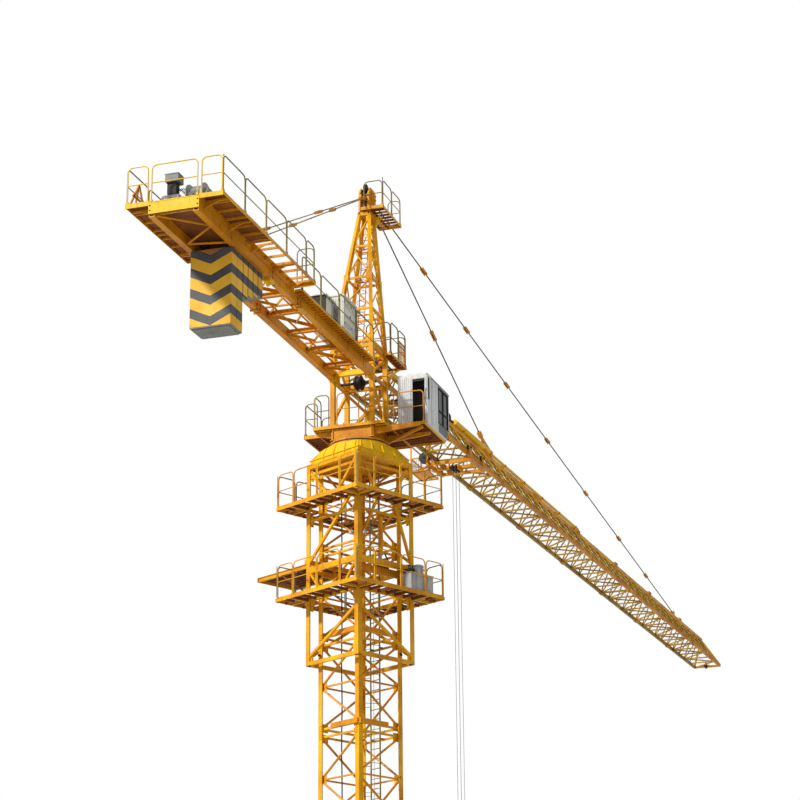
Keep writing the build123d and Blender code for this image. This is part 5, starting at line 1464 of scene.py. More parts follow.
def head_cap():
    """The plated cap with its eye plates, bosses and ribs, and the pins of the jib's ties."""
    cap, pins = forms(2)
    rear, front, low, high = CAP_REAR, CAP_FRONT, HEAD_TOP - 0.06, CAP_TOP
    cap.box((rear, -0.106, low), (front, 0.106, HEAD_TOP))
    outline = [(rear, low), (front, low), (front, high - 0.04), (front - 0.06, high), (rear + 0.08, high),
               (rear, high - 0.12)]
    boss = [(0, 0.028), (0.006, 0.028), (0.008, 0.018), (0.02, 0.016)]
    for side in (-1, 1):
        cap.slab(outline, 1, side * CAP_INNER, side * CAP_HALF)
        cap.box((front - 0.09, side * EYE_SLOT, HEAD_TOP), (front, side * (EYE_SLOT + 0.02), high))
        cap.box((rear, side * 0.042, REAR_EYE - 0.045), (rear + 0.09, side * CAP_INNER, REAR_EYE + 0.045))
        for x, z in ((EYE_X, LONG_EYE), (EYE_X, SHORT_EYE), (REAR_EYE_X, REAR_EYE)):
            cap.turned((x, side * CAP_HALF, z), (0, side, 0), boss, 16)
        for x in (rear + 0.11, front - 0.13):
            near, far = side * CAP_HALF, side * (CAP_HALF + 0.014)
            cap.box((x - 0.005, near, HEAD_TOP - 0.05), (x + 0.005, far, high - 0.05))
    for z in (LONG_EYE, SHORT_EYE):
        pins.axle((EYE_X, 0, z), CAP_HALF, 0.014, 14)
    cap.make("tower_head_cap", TURNING, YELLOW, "yellow_paint")
    pins.make("tower_head_pins", TURNING, DARK, "dark_steel")


def head_ladder():
    """Ladder with hoops up the inside of the head, leaning with its rear legs."""
    form = Form()
    foot, top = Vector((0.03, 0.0, TOWER_TOP)), Vector((0.365, 0.0, HEAD_TOP - 0.1))
    along = (top - foot).normalized()
    out, across = Vector((-along.z, 0, along.x)), Vector((0, 0.05, 0))
    for side in (-1, 1):
        form.beam(foot + across * side, top + across * side, 0.01, 0.018)
    for i in range(int((top - foot).length / HEAD_RUNG_PITCH)):
        form.axle(foot + along * (0.06 + HEAD_RUNG_PITCH * i), 0.05, 0.006, 6)
    for i in range(HEAD_HOOPS):
        centre, reach = foot + along * (0.45 + 0.2 * i), 0.15 - 0.006 * i
        turns = [math.pi * k / 10 for k in range(11)]
        hoop = [centre - across * 1.5 * math.cos(t) + out * reach * math.sin(t) for t in turns]
        form.pipe(hoop, 0.005, 5)
    for level in HEAD_LEVELS[1:4]:
        rear, reach, z = leg_point(0, level)
        x = between(foot, top, (z - foot.z) / (top.z - foot.z))[0]
        form.beam((x, reach, z), (x, -reach, z), 0.014, 0.02)
        form.beam((rear, 0, z), (x, 0, z), 0.014, 0.02)
    form.make("head_ladder", TURNING, ORANGE_AND_SHADE, "yellow_paint")


def head_decks():
    """Slatted platform round the cap and the one at the head's foot."""
    parts, beams = forms(3), Form()
    edges = parts[0]
    (rear, front, right, left), z, foot_z = HEAD_DECK, HEAD_DECK_Z, FOOT_DECK_Z
    open_deck(parts, rear, front, right, -CAP_HALF, z, 0.04, 0.115, 0, (0.0, 0.2))
    open_deck(parts, CAP_FRONT + 0.02, front, -CAP_HALF, left, z, 0.04, 0.115, 0, (0.8, 1.0))
    edges.box((rear - 0.012, right, z - 0.045), (rear - 0.001, left, z + 0.008))
    rear, front, right, left = FOOT_DECK
    open_deck(parts, rear, front, right, -TOWER_OUTER, foot_z, 0.04, 0.11, 0, (0.0, 0.3))
    open_deck(parts, TOWER_OUTER, front, -TOWER_OUTER, left, foot_z, 0.04, 0.11, 1, (0.3, 0.7))
    make_deck("head_platforms", TURNING, parts, ("head_platforms",))
    beams.beam((0.14, -TOWER_HALF, foot_z - 0.025), (0.14, TOWER_HALF, foot_z - 0.025), 0.04, 0.055)
    for y in (-0.40, -0.30, 0.28):
        beams.beam((0.34, y, foot_z - 0.32), (0.82, y, foot_z - 0.05), 0.022, 0.026)
    for x in (0.45, 0.56):
        beams.beam((x, -0.20, z - 0.05), (0.45, -0.09, HEAD_TOP - 0.28), 0.018, 0.02)
    beams.make("head_foot_beams", TURNING, BRIGHT, "yellow_paint")


def head_rails():
    """Bent panels on both of the head's platforms, a gate on the lower one and two lamps."""
    form, gate, lamp = forms(3)
    rear, front, right = HEAD_DECK[0] + RAIL_FOOT, HEAD_DECK[1] - RAIL_FOOT, HEAD_DECK[2] + RAIL_FOOT
    rail_line(form, [(rear, 0.0), (rear, right)], HEAD_DECK_Z, 1, HEAD_RAIL)
    rail_line(form, [(rear, right), (front, right)], HEAD_DECK_Z, 2, HEAD_RAIL)
    rail_line(form, [(front, right), (front, -0.106)], HEAD_DECK_Z, 1, HEAD_RAIL)
    x0, x1 = FOOT_DECK[0] + RAIL_FOOT, FOOT_DECK[1] - RAIL_FOOT
    y0, y1 = FOOT_DECK[2] + RAIL_FOOT, FOOT_DECK[3] - RAIL_FOOT
    rail_line(form, [(x0, y0), (x1, y0)], FOOT_DECK_Z, 2)
    rail_line(form, [(x0, -0.06), (x0, y0)], FOOT_DECK_Z)
    rail_line(form, [(x1, y0), (x1, y1)], FOOT_DECK_Z, 2)
    form.make("head_rail_tubes", TURNING, RAIL, "galvanised", ("head_rails",))
    x0, x1, y, z = 0.60, 0.87, -0.462, FOOT_DECK_Z
    for x in (x0, x1):
        gate.beam((x, y, z), (x, y, z + 0.36), 0.016, 0.02)
    for k in range(5):
        x = x0 + (x1 - x0) * k / 4
        gate.beam((x, y, z + 0.05), (x, y, z + 0.34), 0.012)
    for rise in (0.03, 0.18, 0.35):
        gate.beam((x0, y, z + rise), (x1, y, z + rise), 0.014, 0.018)
    gate.make("head_foot_gate", TURNING, ORANGE_AND_SHADE, "yellow_paint")
    top = HEAD_DECK_Z + HEAD_RAIL
    lamp.tube((rear, right, top - 0.04), (rear, right, top + 0.04), 0.006)
    globe = [(0, 0.016), (0.012, 0.02), (0.03, 0.02), (0.04, 0.01)]
    lamp.turned((CAP_REAR + 0.2, 0.0, CAP_TOP - 0.012), UP, globe, 14)
    lamp.make("head_lamp", TURNING, DARK, "dark_steel")


# Counter-jib

def i_beam(form, x0, x1, y, low, high, half):
    """A chord with two flanges and two webs set in a little from its faces."""
    form.box((x0, y - half, high - FLANGE), (x1, y + half, high))
    form.box((x0, y - half, low), (x1, y + half, low + FLANGE))
    for side in (-1, 1):
        inner = y + side * (half - 0.004)
        form.box((x0, inner, low + FLANGE), (x1, inner - side * FLANGE, high - FLANGE))


def counter_frame():
    """Deep chords, cross beams, plan bracing, the bolted joint and the rear end plate."""
    form, braces, plate, hanger, bolts = forms(5)
    low, high, middle, rear, reach = CHORD_LOW, CHORD_HIGH, CHORD_MIDDLE, COUNTER_REAR, CHORD_Y - 0.04
    for y in (-CHORD_Y, CHORD_Y):
        side = math.copysign(1, y)
        i_beam(form, rear, COUNTER_ROOT, y, low, high, CHORD_HALF)
        for x in SPLICE_PLATES:
            form.box((x - 0.012, y - 0.06, low - 0.02), (x + 0.012, y + 0.06, high + 0.02))
        for z in (low - 0.008, middle, high + 0.008):
            for dy in (-0.053, 0.053):
                for toward, x in ((1, SPLICE_PLATES[1]), (-1, SPLICE_PLATES[0])):
                    bolts.bolt((x + toward * 0.012, y + dy, z), (toward, 0, 0), 0.011)
        for x in STIFFENERS:
            near, far = y + side * 0.041, y + side * 0.05
            form.box((x - 0.005, near, low + FLANGE), (x + 0.005, far, high - FLANGE))
    for x in CROSS_BEAMS:
        for half, z0, z1 in ((0.035, 0.025, 0.035), (0.035, -0.035, -0.025), (0.006, -0.035, 0.035)):
            braces.box((x - half, -reach, middle + z0), (x + half, reach, middle + z1))
    places = CROSS_BEAMS[1:] + (-0.40,)
    for number, (a, b) in enumerate(zip(places, places[1:])):
        y = reach if number % 2 == 0 else -reach
        braces.angle((a, y, middle + 0.01), (b, -y, middle + 0.01), 0.04, 0.006)
        braces.angle((a, -y, middle - 0.012), ((a + b) / 2, 0, middle - 0.012), 0.032, 0.006)
    rods = ((-7.15, 0.27), (-6.60, -0.28), (-6.13, 0.27), (-6.0, -0.28))
    for a, b in zip(rods, rods[1:]):
        braces.tube(at(a, low + 0.03), at(b, low + 0.03), 0.016)
    foot = low + 0.04
    for out, deep, z0, z1 in ((0.012, 0, 0, 0.175), (0.016, 0.03, 0.163, 0.175), (0.016, 0.02, 0, 0.010)):
        plate.box((rear - out, -COUNTER_SIDE, foot + z0), (rear + deep, COUNTER_SIDE, foot + z1))
    for y in (-0.34, 0.34):
        for z in (foot + 0.05, foot + 0.12):
            bolts.bolt((rear - 0.012, y, z), (-1, 0, 0), 0.010)
    for y in (-CHORD_Y, CHORD_Y):
        hanger.box((-4.72, y - 0.055, low - 0.05), (-4.56, y + 0.055, low))
        outline = [(-4.72, low - 0.05), (-4.56, low - 0.05), (-4.66, low - 0.12), (-4.72, low - 0.12)]
        hanger.plate(outline, 1, y, 0.008)
    form.make("counter_jib_chords", TURNING, ORANGE_AND_SHADE, "orange_paint", ("counter_jib_frame",), 0.003)
    braces.make("counter_jib_bracing", TURNING, ORANGE_AND_SHADE, "orange_paint")
    plate.make("counter_jib_end_plate", TURNING, BRIGHT, "yellow_paint")
    hanger.make("counter_jib_hangers", TURNING, BRIGHT, "yellow_paint")
    bolts.make("counter_jib_bolts", TURNING, DARK, "dark_steel")


def counter_walkways():
    """Side walkways with brown sheets and brackets, the narrow one before them, and the floors."""
    parts = edges, sheets, slats = forms(3)
    rim = Form()
    rear, top, inner, out = COUNTER_REAR, WALK_Z, COUNTER_SIDE, WALK_OUT
    open_deck(parts, rear, RIGHT_FRONT, -out, -inner, top, 0.05, 0.28, 0, (0.0, 0.50))
    open_deck(parts, rear, LEFT_FRONT, inner, out, top, 0.05, 0.28)
    for side in (-1, 1):
        rim.box((rear - 0.008, side * inner, top - 0.064), (rear + 0.004, side * out, top))
    rim.box((RIGHT_FRONT - 0.004, -out, top - 0.06), (RIGHT_FRONT + 0.006, -inner, top))
    for x in (-7.0, -6.2, -5.4, -4.6, -3.95):
        for side in (-1, 1) if x < LEFT_FRONT - 0.1 else (-1,):
            bracket = [(inner, CHORD_HIGH - 0.05), (out * 0.8, top - 0.05), (out * 0.97, top - 0.05),
                       (out * 0.97, top - 0.02), (inner, top - 0.03)]
            slats.plate([(side * y, z) for y, z in bracket], 0, x, 0.012)
    for side, front in ((-1, RIGHT_FRONT), (1, LEFT_FRONT)):
        slats.box((rear, side * inner, CHORD_HIGH - 0.02), (front, side * (inner + 0.008), top - 0.006))
    sheets.box((rear, -inner + 0.012, CHORD_HIGH), (-5.54, inner - 0.012, FLOOR_Z))
    near, far = RIGHT_FRONT + 0.02, COUNTER_ROOT - 0.3
    open_deck(parts, near, far, -inner - NARROW, -inner + 0.07, FLOOR_Z, 0.035, 0.10)
    for x in (-3.3, -2.95, -2.2, -1.7, -1.1):
        slats.box((x, -0.28, CHORD_HIGH - 0.01), (x + 0.03, 0.28, FLOOR_Z))
    for y in (-0.12, 0.14):
        slats.tube((-3.7, y, CHORD_HIGH - 0.02), (-0.7, y, CHORD_HIGH - 0.02), 0.014)
    edges.make("counter_jib_walkway_edges", TURNING, YELLOW, "yellow_paint", ("counter_jib_walkways",))
    rim.make("counter_jib_walkway_ends", TURNING, BRIGHT, "yellow_paint")
    sheets.make("counter_jib_walkway_sheets", TURNING, DECK, "orange_paint")
    slats.make("counter_jib_walkway_ribs", TURNING, ORANGE_AND_SHADE, "orange_paint")


def counter_rails():
    """Rear panels over the end plate, long rails along the walkways, a brace and a lamp post."""
    form, long_rails, brace, lamp = forms(4)
    rear, out, inner = COUNTER_REAR + RAIL_FOOT, WALK_OUT - RAIL_FOOT, COUNTER_SIDE + RAIL_FOOT
    right, left, back = RIGHT_FRONT - RAIL_FOOT, LEFT_FRONT - RAIL_FOOT, RIGHT_FRONT - 0.35
    narrow, plate_x = -COUNTER_SIDE - NARROW + RAIL_FOOT, COUNTER_REAR - 0.008
    rail_line(form, [(rear, -inner), (rear, -out)], WALK_Z)
    rail_line(form, [(rear, inner), (rear, out)], WALK_Z)
    rail_line(form, [(plate_x, 0.33), (plate_x, -0.345)], CHORD_LOW + 0.215)
    rail_line(long_rails, [(rear, -out), (back, -out)], WALK_Z, 4)
    rail_line(long_rails, [(back, -out), (right, -out), (right, -COUNTER_SIDE - 0.05)], WALK_Z)
    rail_line(long_rails, [(rear, out), (left, out)], WALK_Z, 3)
    rail_line(long_rails, [(RIGHT_FRONT + 0.034, narrow), (COUNTER_ROOT - 0.314, narrow)], FLOOR_Z, 4)
    form.make("counter_jib_rear_rails", TURNING, BRIGHT, "galvanised", ("counter_jib_rails",))
    long_rails.make("counter_jib_side_rails", TURNING, RAIL, "galvanised")
    peak = (-6.86, 0.42)
    runs = (((-7.14, 0), peak), (peak, (-6.62, 0)), ((-6.99, 0), peak), ((-7.05, 0.2), (-6.70, 0.2)))
    for (xa, za), (xb, zb) in runs:
        brace.beam((xa, out - 0.02, WALK_Z + za), (xb, out - 0.02, WALK_Z + zb), 0.02, 0.024)
    brace.make("counter_jib_rail_brace", TURNING, ORANGE_AND_SHADE, "orange_paint")
    lamp.tube((rear, -out, WALK_Z + 0.50), (rear + 0.02, -out, WALK_Z + 0.53), 0.006)
    lamp.make("counter_jib_lamp_post", TURNING, DARK, "dark_steel")


def motor_fins(form, centre, radius, half, count, thick, height):
    """Cooling fins round a motor that lies across the crane."""
    for c, s in around(count):
        spoke, reach = Vector((c, 0, s)), Vector((0, half, 0))
        middle = Vector(centre) + spoke * radius
        form.beam(middle - reach, middle + reach, thick, height, tuple(spoke))


def wound_rope(form, centre, radius, rope_r, turns, pitch, steps, rise=0.0):
    """Rings of rope side by side on a drum that lies across the crane."""
    x, y, z = centre
    for k in range(turns):
        ring = [(x + radius * c, y + k * pitch + rise * i / steps, z + radius * s)
                for i, (c, s) in enumerate(around(steps))]
        form.pipe(ring, rope_r, 5, True)


def hoist_winch():
    """Winch on its bed: finned motor, rope drum with its wound rope, gearbox, brake and control box."""
    bed, grey, light, dark = forms(4)
    x, low, floor = WINCH_X, WINCH_LOW, FLOOR_Z
    for dx in (-0.24, 0.24):
        for z, width, height in ((0.004, 0.04, 0.008), (0.046, 0.04, 0.008), (0.025, 0.008, 0.04)):
            bed.beam((x + dx, -0.32, floor + z), (x + dx, 0.32, floor + z), width, height)
    for y in (-0.31, -0.26, 0.0, 0.08, 0.30):
        bed.beam((x - 0.26, y, floor + 0.03), (x + 0.26, y, floor + 0.03), 0.02, 0.04)
    drum_x, axle, edge = x + 0.07, low + 0.195, DRUM_FLANGE_R - 0.02
    light.turned((drum_x, -0.26, axle), ACROSS, [
        (0, edge), (0.004, DRUM_FLANGE_R), (0.018, DRUM_FLANGE_R), (0.022, DRUM_R),
        (0.218, DRUM_R), (0.222, DRUM_FLANGE_R), (0.236, DRUM_FLANGE_R), (0.24, edge),
    ], 40)
    wound_rope(light, (drum_x, -0.232, axle), DRUM_R + 0.003, 0.0085, DRUM_TURNS, DRUM_PITCH, 28, DRUM_PITCH)
    gearbox = [(-0.13, 0), (0.13, 0), (0.13, 0.2), (0.07, 0.28), (-0.07, 0.28), (-0.13, 0.2)]
    grey.slab([(drum_x + dx, low + dz) for dx, dz in gearbox], 1, -0.32, -0.265)
    grey.turned((drum_x, -0.325, axle), ACROSS, [(0, 0.06), (0.01, 0.075), (0.03, 0.075)], 20)
    stand = [(-0.05, low), (0.05, low), (0.03, axle + 0.03), (-0.03, axle + 0.03)]
    grey.slab([(drum_x + dx, z) for dx, z in stand], 1, -0.018, 0.03)
    motor_x, motor_z = x - 0.125, low + 0.095
    light.turned((motor_x, -0.02, motor_z), ACROSS, [
        (0, 0.05), (0.05, 0.05), (0.052, 0.08), (0.07, 0.084), (0.235, 0.084), (0.237, 0.092),
        (0.29, 0.092), (0.30, 0.07),
    ], 28)
    motor_fins(light, (motor_x, 0.125, motor_z), 0.088, 0.072, 22, 0.005, 0.012)
    dark.box((motor_x - 0.05, 0.02, low), (motor_x + 0.09, 0.15, low + 0.02))
    dark.box((motor_x - 0.06, 0.07, low + 0.18), (motor_x + 0.05, 0.20, low + 0.36))
    dark.box((x - 0.20, 0.16, low), (x - 0.05, 0.29, low + 0.04))
    grey.box((motor_x - 0.09, 0.03, low + 0.35), (motor_x + 0.09, 0.22, low + 0.455))
    grey.box((motor_x - 0.096, 0.024, low + 0.455), (motor_x + 0.096, 0.226, low + 0.465))
    brake = [(0, 0.05), (0.01, 0.065), (0.05, 0.065), (0.06, 0.05)]
    dark.turned((drum_x - 0.17, -0.10, low + 0.07), ACROSS, brake, 22)
    cheek = [(-0.24, 0), (-0.12, 0), (-0.13, 0.15), (-0.20, 0.17)]
    for y in (-0.20, -0.15):
        dark.plate([(drum_x + dx, low + dz) for dx, dz in cheek], 1, y, 0.01)
    for k in range(3):
        dark.pipe([
            (motor_x + 0.03, 0.05 + 0.03 * k, low + 0.24), (motor_x + 0.08, 0.02 + 0.03 * k, low + 0.30),
            (drum_x, -0.05 - 0.04 * k, low + 0.06), (drum_x + 0.12, -0.12 - 0.04 * k, low + 0.02),
        ], 0.006, 6)
    bed.make("hoist_winch_bed", TURNING, ORANGE_AND_SHADE, "orange_paint", ("hoist_winch",))
    grey.make("hoist_winch_gearbox_and_box", TURNING, GREY, "grey_paint")
    light.make("hoist_winch_motor_and_drum", TURNING, LIGHT_GREY, "grey_paint", ("rope_drums",))
    dark.make("hoist_winch_rope_and_brake", TURNING, DARK, "dark_steel")


def weights():
    """Slabs with chevrons, steel feet, hanger rods and beams on the chords."""
    slabs, front, feet, steel = forms(4)
    top, half = CHORD_LOW - 0.01, WEIGHT_HALF
    x0, thick, low = WEIGHTS_REAR, REAR_WEIGHT[0], top - REAR_WEIGHT[1]
    for a, b in ((x0, x0 + 0.2), (x0 + 0.212, x0 + thick)):
        slabs.box((a, -half, low + 0.03), (b, half, top))
    feet.box((x0 + 0.004, 0.004 - half, low + 0.016), (x0 + thick - 0.004, half - 0.004, low + 0.03))
    feet.box((x0 + 0.03, 0.034 - half, low), (x0 + thick - 0.02, half - 0.034, low + 0.016))
    middles = [x0 + thick / 2]
    for number in range(FRONT_WEIGHTS):
        x0 = WEIGHTS_REAR + REAR_WEIGHT[0] + WEIGHT_GAP + number * (FRONT_THICK + WEIGHT_GAP)
        x1, low = x0 + FRONT_THICK, top - FRONT_DEPTH + number * FRONT_STEP
        front.box((x0, -half, low + 0.02), (x1, half, top))
        feet.box((x0 + 0.006, 0.006 - half, low), (x1 - 0.006, half - 0.006, low + 0.02))
        steel.box((x0 - 0.008, -half - 0.002, low + 0.02), (x0 - 0.002, half + 0.002, top - 0.01))
        middles.append((x0 + x1) / 2)
    for middle in middles:
        for y in (-0.15, 0.15):
            steel.tube((middle, y, top - 0.01), (middle, y, CHORD_HIGH + 0.03), 0.014, 12)
            steel.bolt((middle, y, CHORD_HIGH + 0.04), UP, 0.022)
        for x in (middle - 0.015, middle + 0.015):
            steel.beam((x, -0.295, CHORD_HIGH + 0.02), (x, 0.295, CHORD_HIGH + 0.02), 0.01, 0.04)
    for form, name, node in (
        (slabs, "rear_counterweight_slabs", "rear_counterweight"),
        (front, "front_counterweight_slabs", "front_counterweights"),
    ):
        form.make(name, TURNING, HAZARD, "weight_paint", (node,), 0.006)
    feet.make("counterweight_feet", TURNING, STONE, "grey_paint", (), 0.003)
    steel.make("counterweight_hangers", TURNING, DARK, "dark_steel")


def louvres(form, x0, x1, y, low, high):
    """Sloping slats on a cabinet's door."""
    pitch = (high - low) / 6
    for k in range(6):
        z = low + pitch * k
        form.slab([(y, z), (y - 0.008, z), (y, z + pitch * 0.8)], 0, x0, x1)


def cabinets():
    """Louvred switch cabinet with two doors, a cream one behind it and a low box on feet."""
    grey, cream, dark = forms(3)
    right, left, low = CABINET_RIGHT, CABINET_LEFT, FLOOR_Z
    x0, x1, high = CABINET[0], CABINET[1], low + CABINET[2]
    middle = (x0 + x1) / 2
    grey.box((x0, right + 0.006, low + 0.03), (x1, left, high - 0.02))
    grey.box((x0 - 0.012, right - 0.006, high - 0.02), (x1 + 0.012, left + 0.01, high))
    dark.box((x0 + 0.01, right + 0.02, low), (x1 - 0.01, left - 0.01, low + 0.03))
    for a, b in ((x0 + 0.012, middle - 0.006), (middle + 0.006, x1 - 0.012)):
        grey.box((a, right - 0.002, low + 0.05), (b, right + 0.006, high - 0.035))
        louvres(grey, a + 0.03, b - 0.03, right - 0.002, low + 0.09, low + 0.2)
        louvres(grey, a + 0.03, b - 0.03, right - 0.002, high - 0.2, high - 0.08)
        dark.box((b - 0.025, right - 0.010, low + 0.28), (b - 0.015, right - 0.002, low + 0.34))
        for z in (low + 0.12, high - 0.13):
            dark.tube((a + 0.004, right - 0.005, z), (a + 0.004, right - 0.005, z + 0.04), 0.004, 6)
    for k in range(7):
        y = right + 0.03 + k * 0.027
        grey.box((x0 - 0.005, y, low + 0.06), (x0, y + 0.014, high - 0.06))
    cream.box((x0 - 0.14, left + 0.012, low), (x1 - 0.06, left + 0.22, high - 0.02))
    cream.box((x0 - 0.15, left + 0.008, high - 0.02), (x1 - 0.05, left + 0.23, high - 0.005))
    for k in range(6):
        x = x0 - 0.11 + k * 0.085
        cream.box((x, left + 0.22, low + 0.05), (x + 0.05, left + 0.226, high - 0.1))
    x0, x1, high = LOW_BOX[0], LOW_BOX[1], low + LOW_BOX[2]
    dark.box((x0, right + 0.01, low + 0.02), (x1, left, high - 0.012))
    dark.box((x0 - 0.01, right, high - 0.012), (x1 + 0.01, left + 0.01, high))
    for a, b in ((x0 + 0.03, x0 + 0.26), (x0 + 0.30, x1 - 0.03)):
        grey.box((a, right + 0.002, low + 0.05), (b, right + 0.01, high - 0.03))
    for k in range(8):
        z = low + 0.05 + k * 0.026
        dark.box((x0 + 0.32, right - 0.004, z), (x1 - 0.05, right + 0.004, z + 0.012))
    for x in (x0 + 0.06, x1 - 0.06):
        dark.box((x - 0.02, right + 0.02, low), (x + 0.02, left - 0.02, low + 0.02))
    grey.make("switch_cabinets", TURNING, CREAM, "grey_paint", ("electric_cabinets",), 0.002)
    cream.make("resistor_cabinet", TURNING, CREAM, "grey_paint", (), 0.002)
    dark.make("cabinet_trims_and_low_box", TURNING, DARK, "dark_steel")


# Jib

def jib_section(number):
    """Plated bottom chords, a top chord, round zigzags on both sides and lacing below."""
    chords, lower, left, lacing, joints, pins = forms(6)
    length = (JIB_TIP - JIB_ROOT) / JIB_SECTIONS
    x0 = JIB_ROOT + number * length
    x1 = x0 + length
    root, tip = number == 0, number == JIB_SECTIONS - 1
    start = x0 + JIB_TAPER if root else x0
    end = x1 - JIB_NOSE if tip else x1
    chords.beam(jib_at(start, 0, JIB_DEPTH), jib_at(end, 0, JIB_DEPTH), JIB_TOP_CHORD)
    for y, target in ((-JIB_HALF, lower), (JIB_HALF, left)):
        near = x0 + (0.002 if root else 0)
        for shift, rise, width, height in (
            (0, 0.03, 0.068, 0.010), (-0.021, 0.002, 0.008, 0.05), (0.021, 0.002, 0.008, 0.05),
            (0, -0.022, 0.05, 0.008),
        ):
            target.beam(jib_at(near, y + shift, rise), jib_at(x1, y + shift, rise), width, height)
        if root:
            chords.beam(jib_at(x0 + 0.04, y, 0.02), jib_at(start, 0, JIB_DEPTH), 0.06)
        if tip:
            chords.beam(jib_at(end, 0, JIB_DEPTH), jib_at(x1 - 0.03, y, 0.03), 0.04)
    panels = JIB_PANELS - 1 if root or tip else JIB_PANELS
    step = (end - start) / panels
    for i in range(panels):
        a = start + i * step
        middle, b = a + step / 2, a + step
        for y in (-JIB_HALF, JIB_HALF):
            lacing.tube(jib_at(a + 0.02, y, 0), jib_at(middle - 0.02, 0, JIB_DEPTH), LACING_R, 7)
            lacing.tube(jib_at(middle + 0.02, 0, JIB_DEPTH), jib_at(b - 0.02, y, 0), LACING_R, 7)
    bays = max(2, round(length / step))
    for i in range(bays + 1):
        x = min(x1 - 0.018, max(x0 + 0.018, x0 + length * i / bays))
        lacing.beam(jib_at(x, -JIB_HALF, 0), jib_at(x, JIB_HALF, 0), 0.028)
        if i < bays:
            side = JIB_HALF if i % 2 == 0 else -JIB_HALF
            far = x0 + length * (i + 1) / bays
            lacing.beam(jib_at(x, -side, 0), jib_at(far - 0.02, side, 0), 0.024)
    ends = ([] if root else [x0 + SLEEVE]) + ([] if tip else [x1 - SLEEVE])
    for x in ends:
        a, b, high = x - SLEEVE, x + SLEEVE, JIB_DEPTH + 0.035
        joints.beam(jib_at(a, 0, high), jib_at(b, 0, high), 0.1, 0.09)
        pins.axle(jib_at(x, 0, JIB_DEPTH + 0.05), 0.062, 0.012, 10)
        for y in (-JIB_HALF, JIB_HALF):
            joints.beam(jib_at(a, y, 0), jib_at(b, y, 0), 0.070, 0.070)
            pins.tube(jib_at(x, y, -0.048), jib_at(x, y, 0.05), 0.012, 10)
    if root:
        for y in (-JIB_HALF, JIB_HALF):
            joints.beam(jib_at(x0, y, 0), jib_at(x0 + 0.09, y, 0), 0.09, 0.11)
            pins.axle(jib_at(x0 + 0.04, y, 0), 0.055, 0.016)
    name = "jib_section_%d" % (number + 1)
    # Painted shade: the lower chords and the lacing take darker copies of the top chord's yellow, the left
    # chord and the lacing the darkest.
    chords.make(name + "_chords", TURNING, YELLOW, "yellow_paint", (name,))
    lower.make(name + "_right_chord", TURNING, ORANGE_AND_SHADE, "yellow_paint")
    left.make(name + "_left_chord", TURNING, SHADED, "yellow_paint")
    lacing.make(name + "_lacing", TURNING, SHADED, "yellow_paint")
    joints.make(name + "_joint_sleeves", TURNING, ORANGE_AND_SHADE, "yellow_paint")
    pins.make(name + "_pins", TURNING, DARK, "dark_steel")


def jib_extras():
    """Twin pipes with clamps on the first part of the top chord, rope guides and the nose plates."""
    pipes, clamps, machine, nose, rope = forms(5)
    high = JIB_DEPTH + JIB_TOP_CHORD
    for y in (-0.055, 0.055):
        pipes.tube(jib_at(4.85, y, high + 0.006), jib_at(7.0, y, high + 0.006), 0.046, 14)
        pipes.tube(jib_at(7.0, y, high - 0.01), jib_at(13.4, y, high - 0.01), 0.028, 12)
        clamps.tube(jib_at(6.96, y, high), jib_at(7.05, y, high), 0.05, 14)
    for k in range(7):
        x = 5.35 + k * PIPE_CLAMP_PITCH
        clamps.beam(jib_at(x - 0.02, 0, high - 0.02), jib_at(x + 0.02, 0, high - 0.02), 0.19, 0.05)
    for y, height in ((-0.17, 0.24), (-0.075, 0.42)):
        pipes.tube(jib_at(2.4, y, height), jib_at(JIB_TIP - 1.2, y, height), 0.019)
    pipes.make("jib_top_pipes", TURNING, BRIGHT, "yellow_paint")
    clamps.make("jib_top_pipe_clamps", TURNING, ORANGE_AND_SHADE, "yellow_paint")
    guide = [(0, 0.05), (0.01, 0.07), (0.13, 0.07), (0.14, 0.05)]
    machine.turned(jib_at(4.55, -0.07, JIB_DEPTH + 0.09), ACROSS, guide, 20)
    machine.beam(jib_at(4.45, 0, JIB_DEPTH + 0.055), jib_at(4.80, 0, JIB_DEPTH + 0.055), 0.12, 0.03)
    machine.make("jib_rope_guide", TURNING, DARK, "dark_steel")
    wheel, tip = NOSE_WHEEL_X, JIB_TIP - 0.02
    for y in (-0.066, 0.066):
        nose.beam(jib_at(wheel - 0.04, y, 0), jib_at(JIB_TIP - 0.016, y, 0), 0.012, 0.064)
    nose.beam(jib_at(tip, -JIB_HALF, 0), jib_at(tip, JIB_HALF, 0), 0.036, 0.05)
    nose.make("jib_nose_plates", TURNING, YELLOW, "yellow_paint")
    for y, height in ((0.03, JIB_DEPTH * 0.72), (-0.03, 0.10)):
        rope.tube(jib_at(2.0, y, height), jib_at(wheel, y, 0.075), 0.004, 6)
    rope.make("trolley_traction_ropes", TURNING, ROPE, "rope_wire")


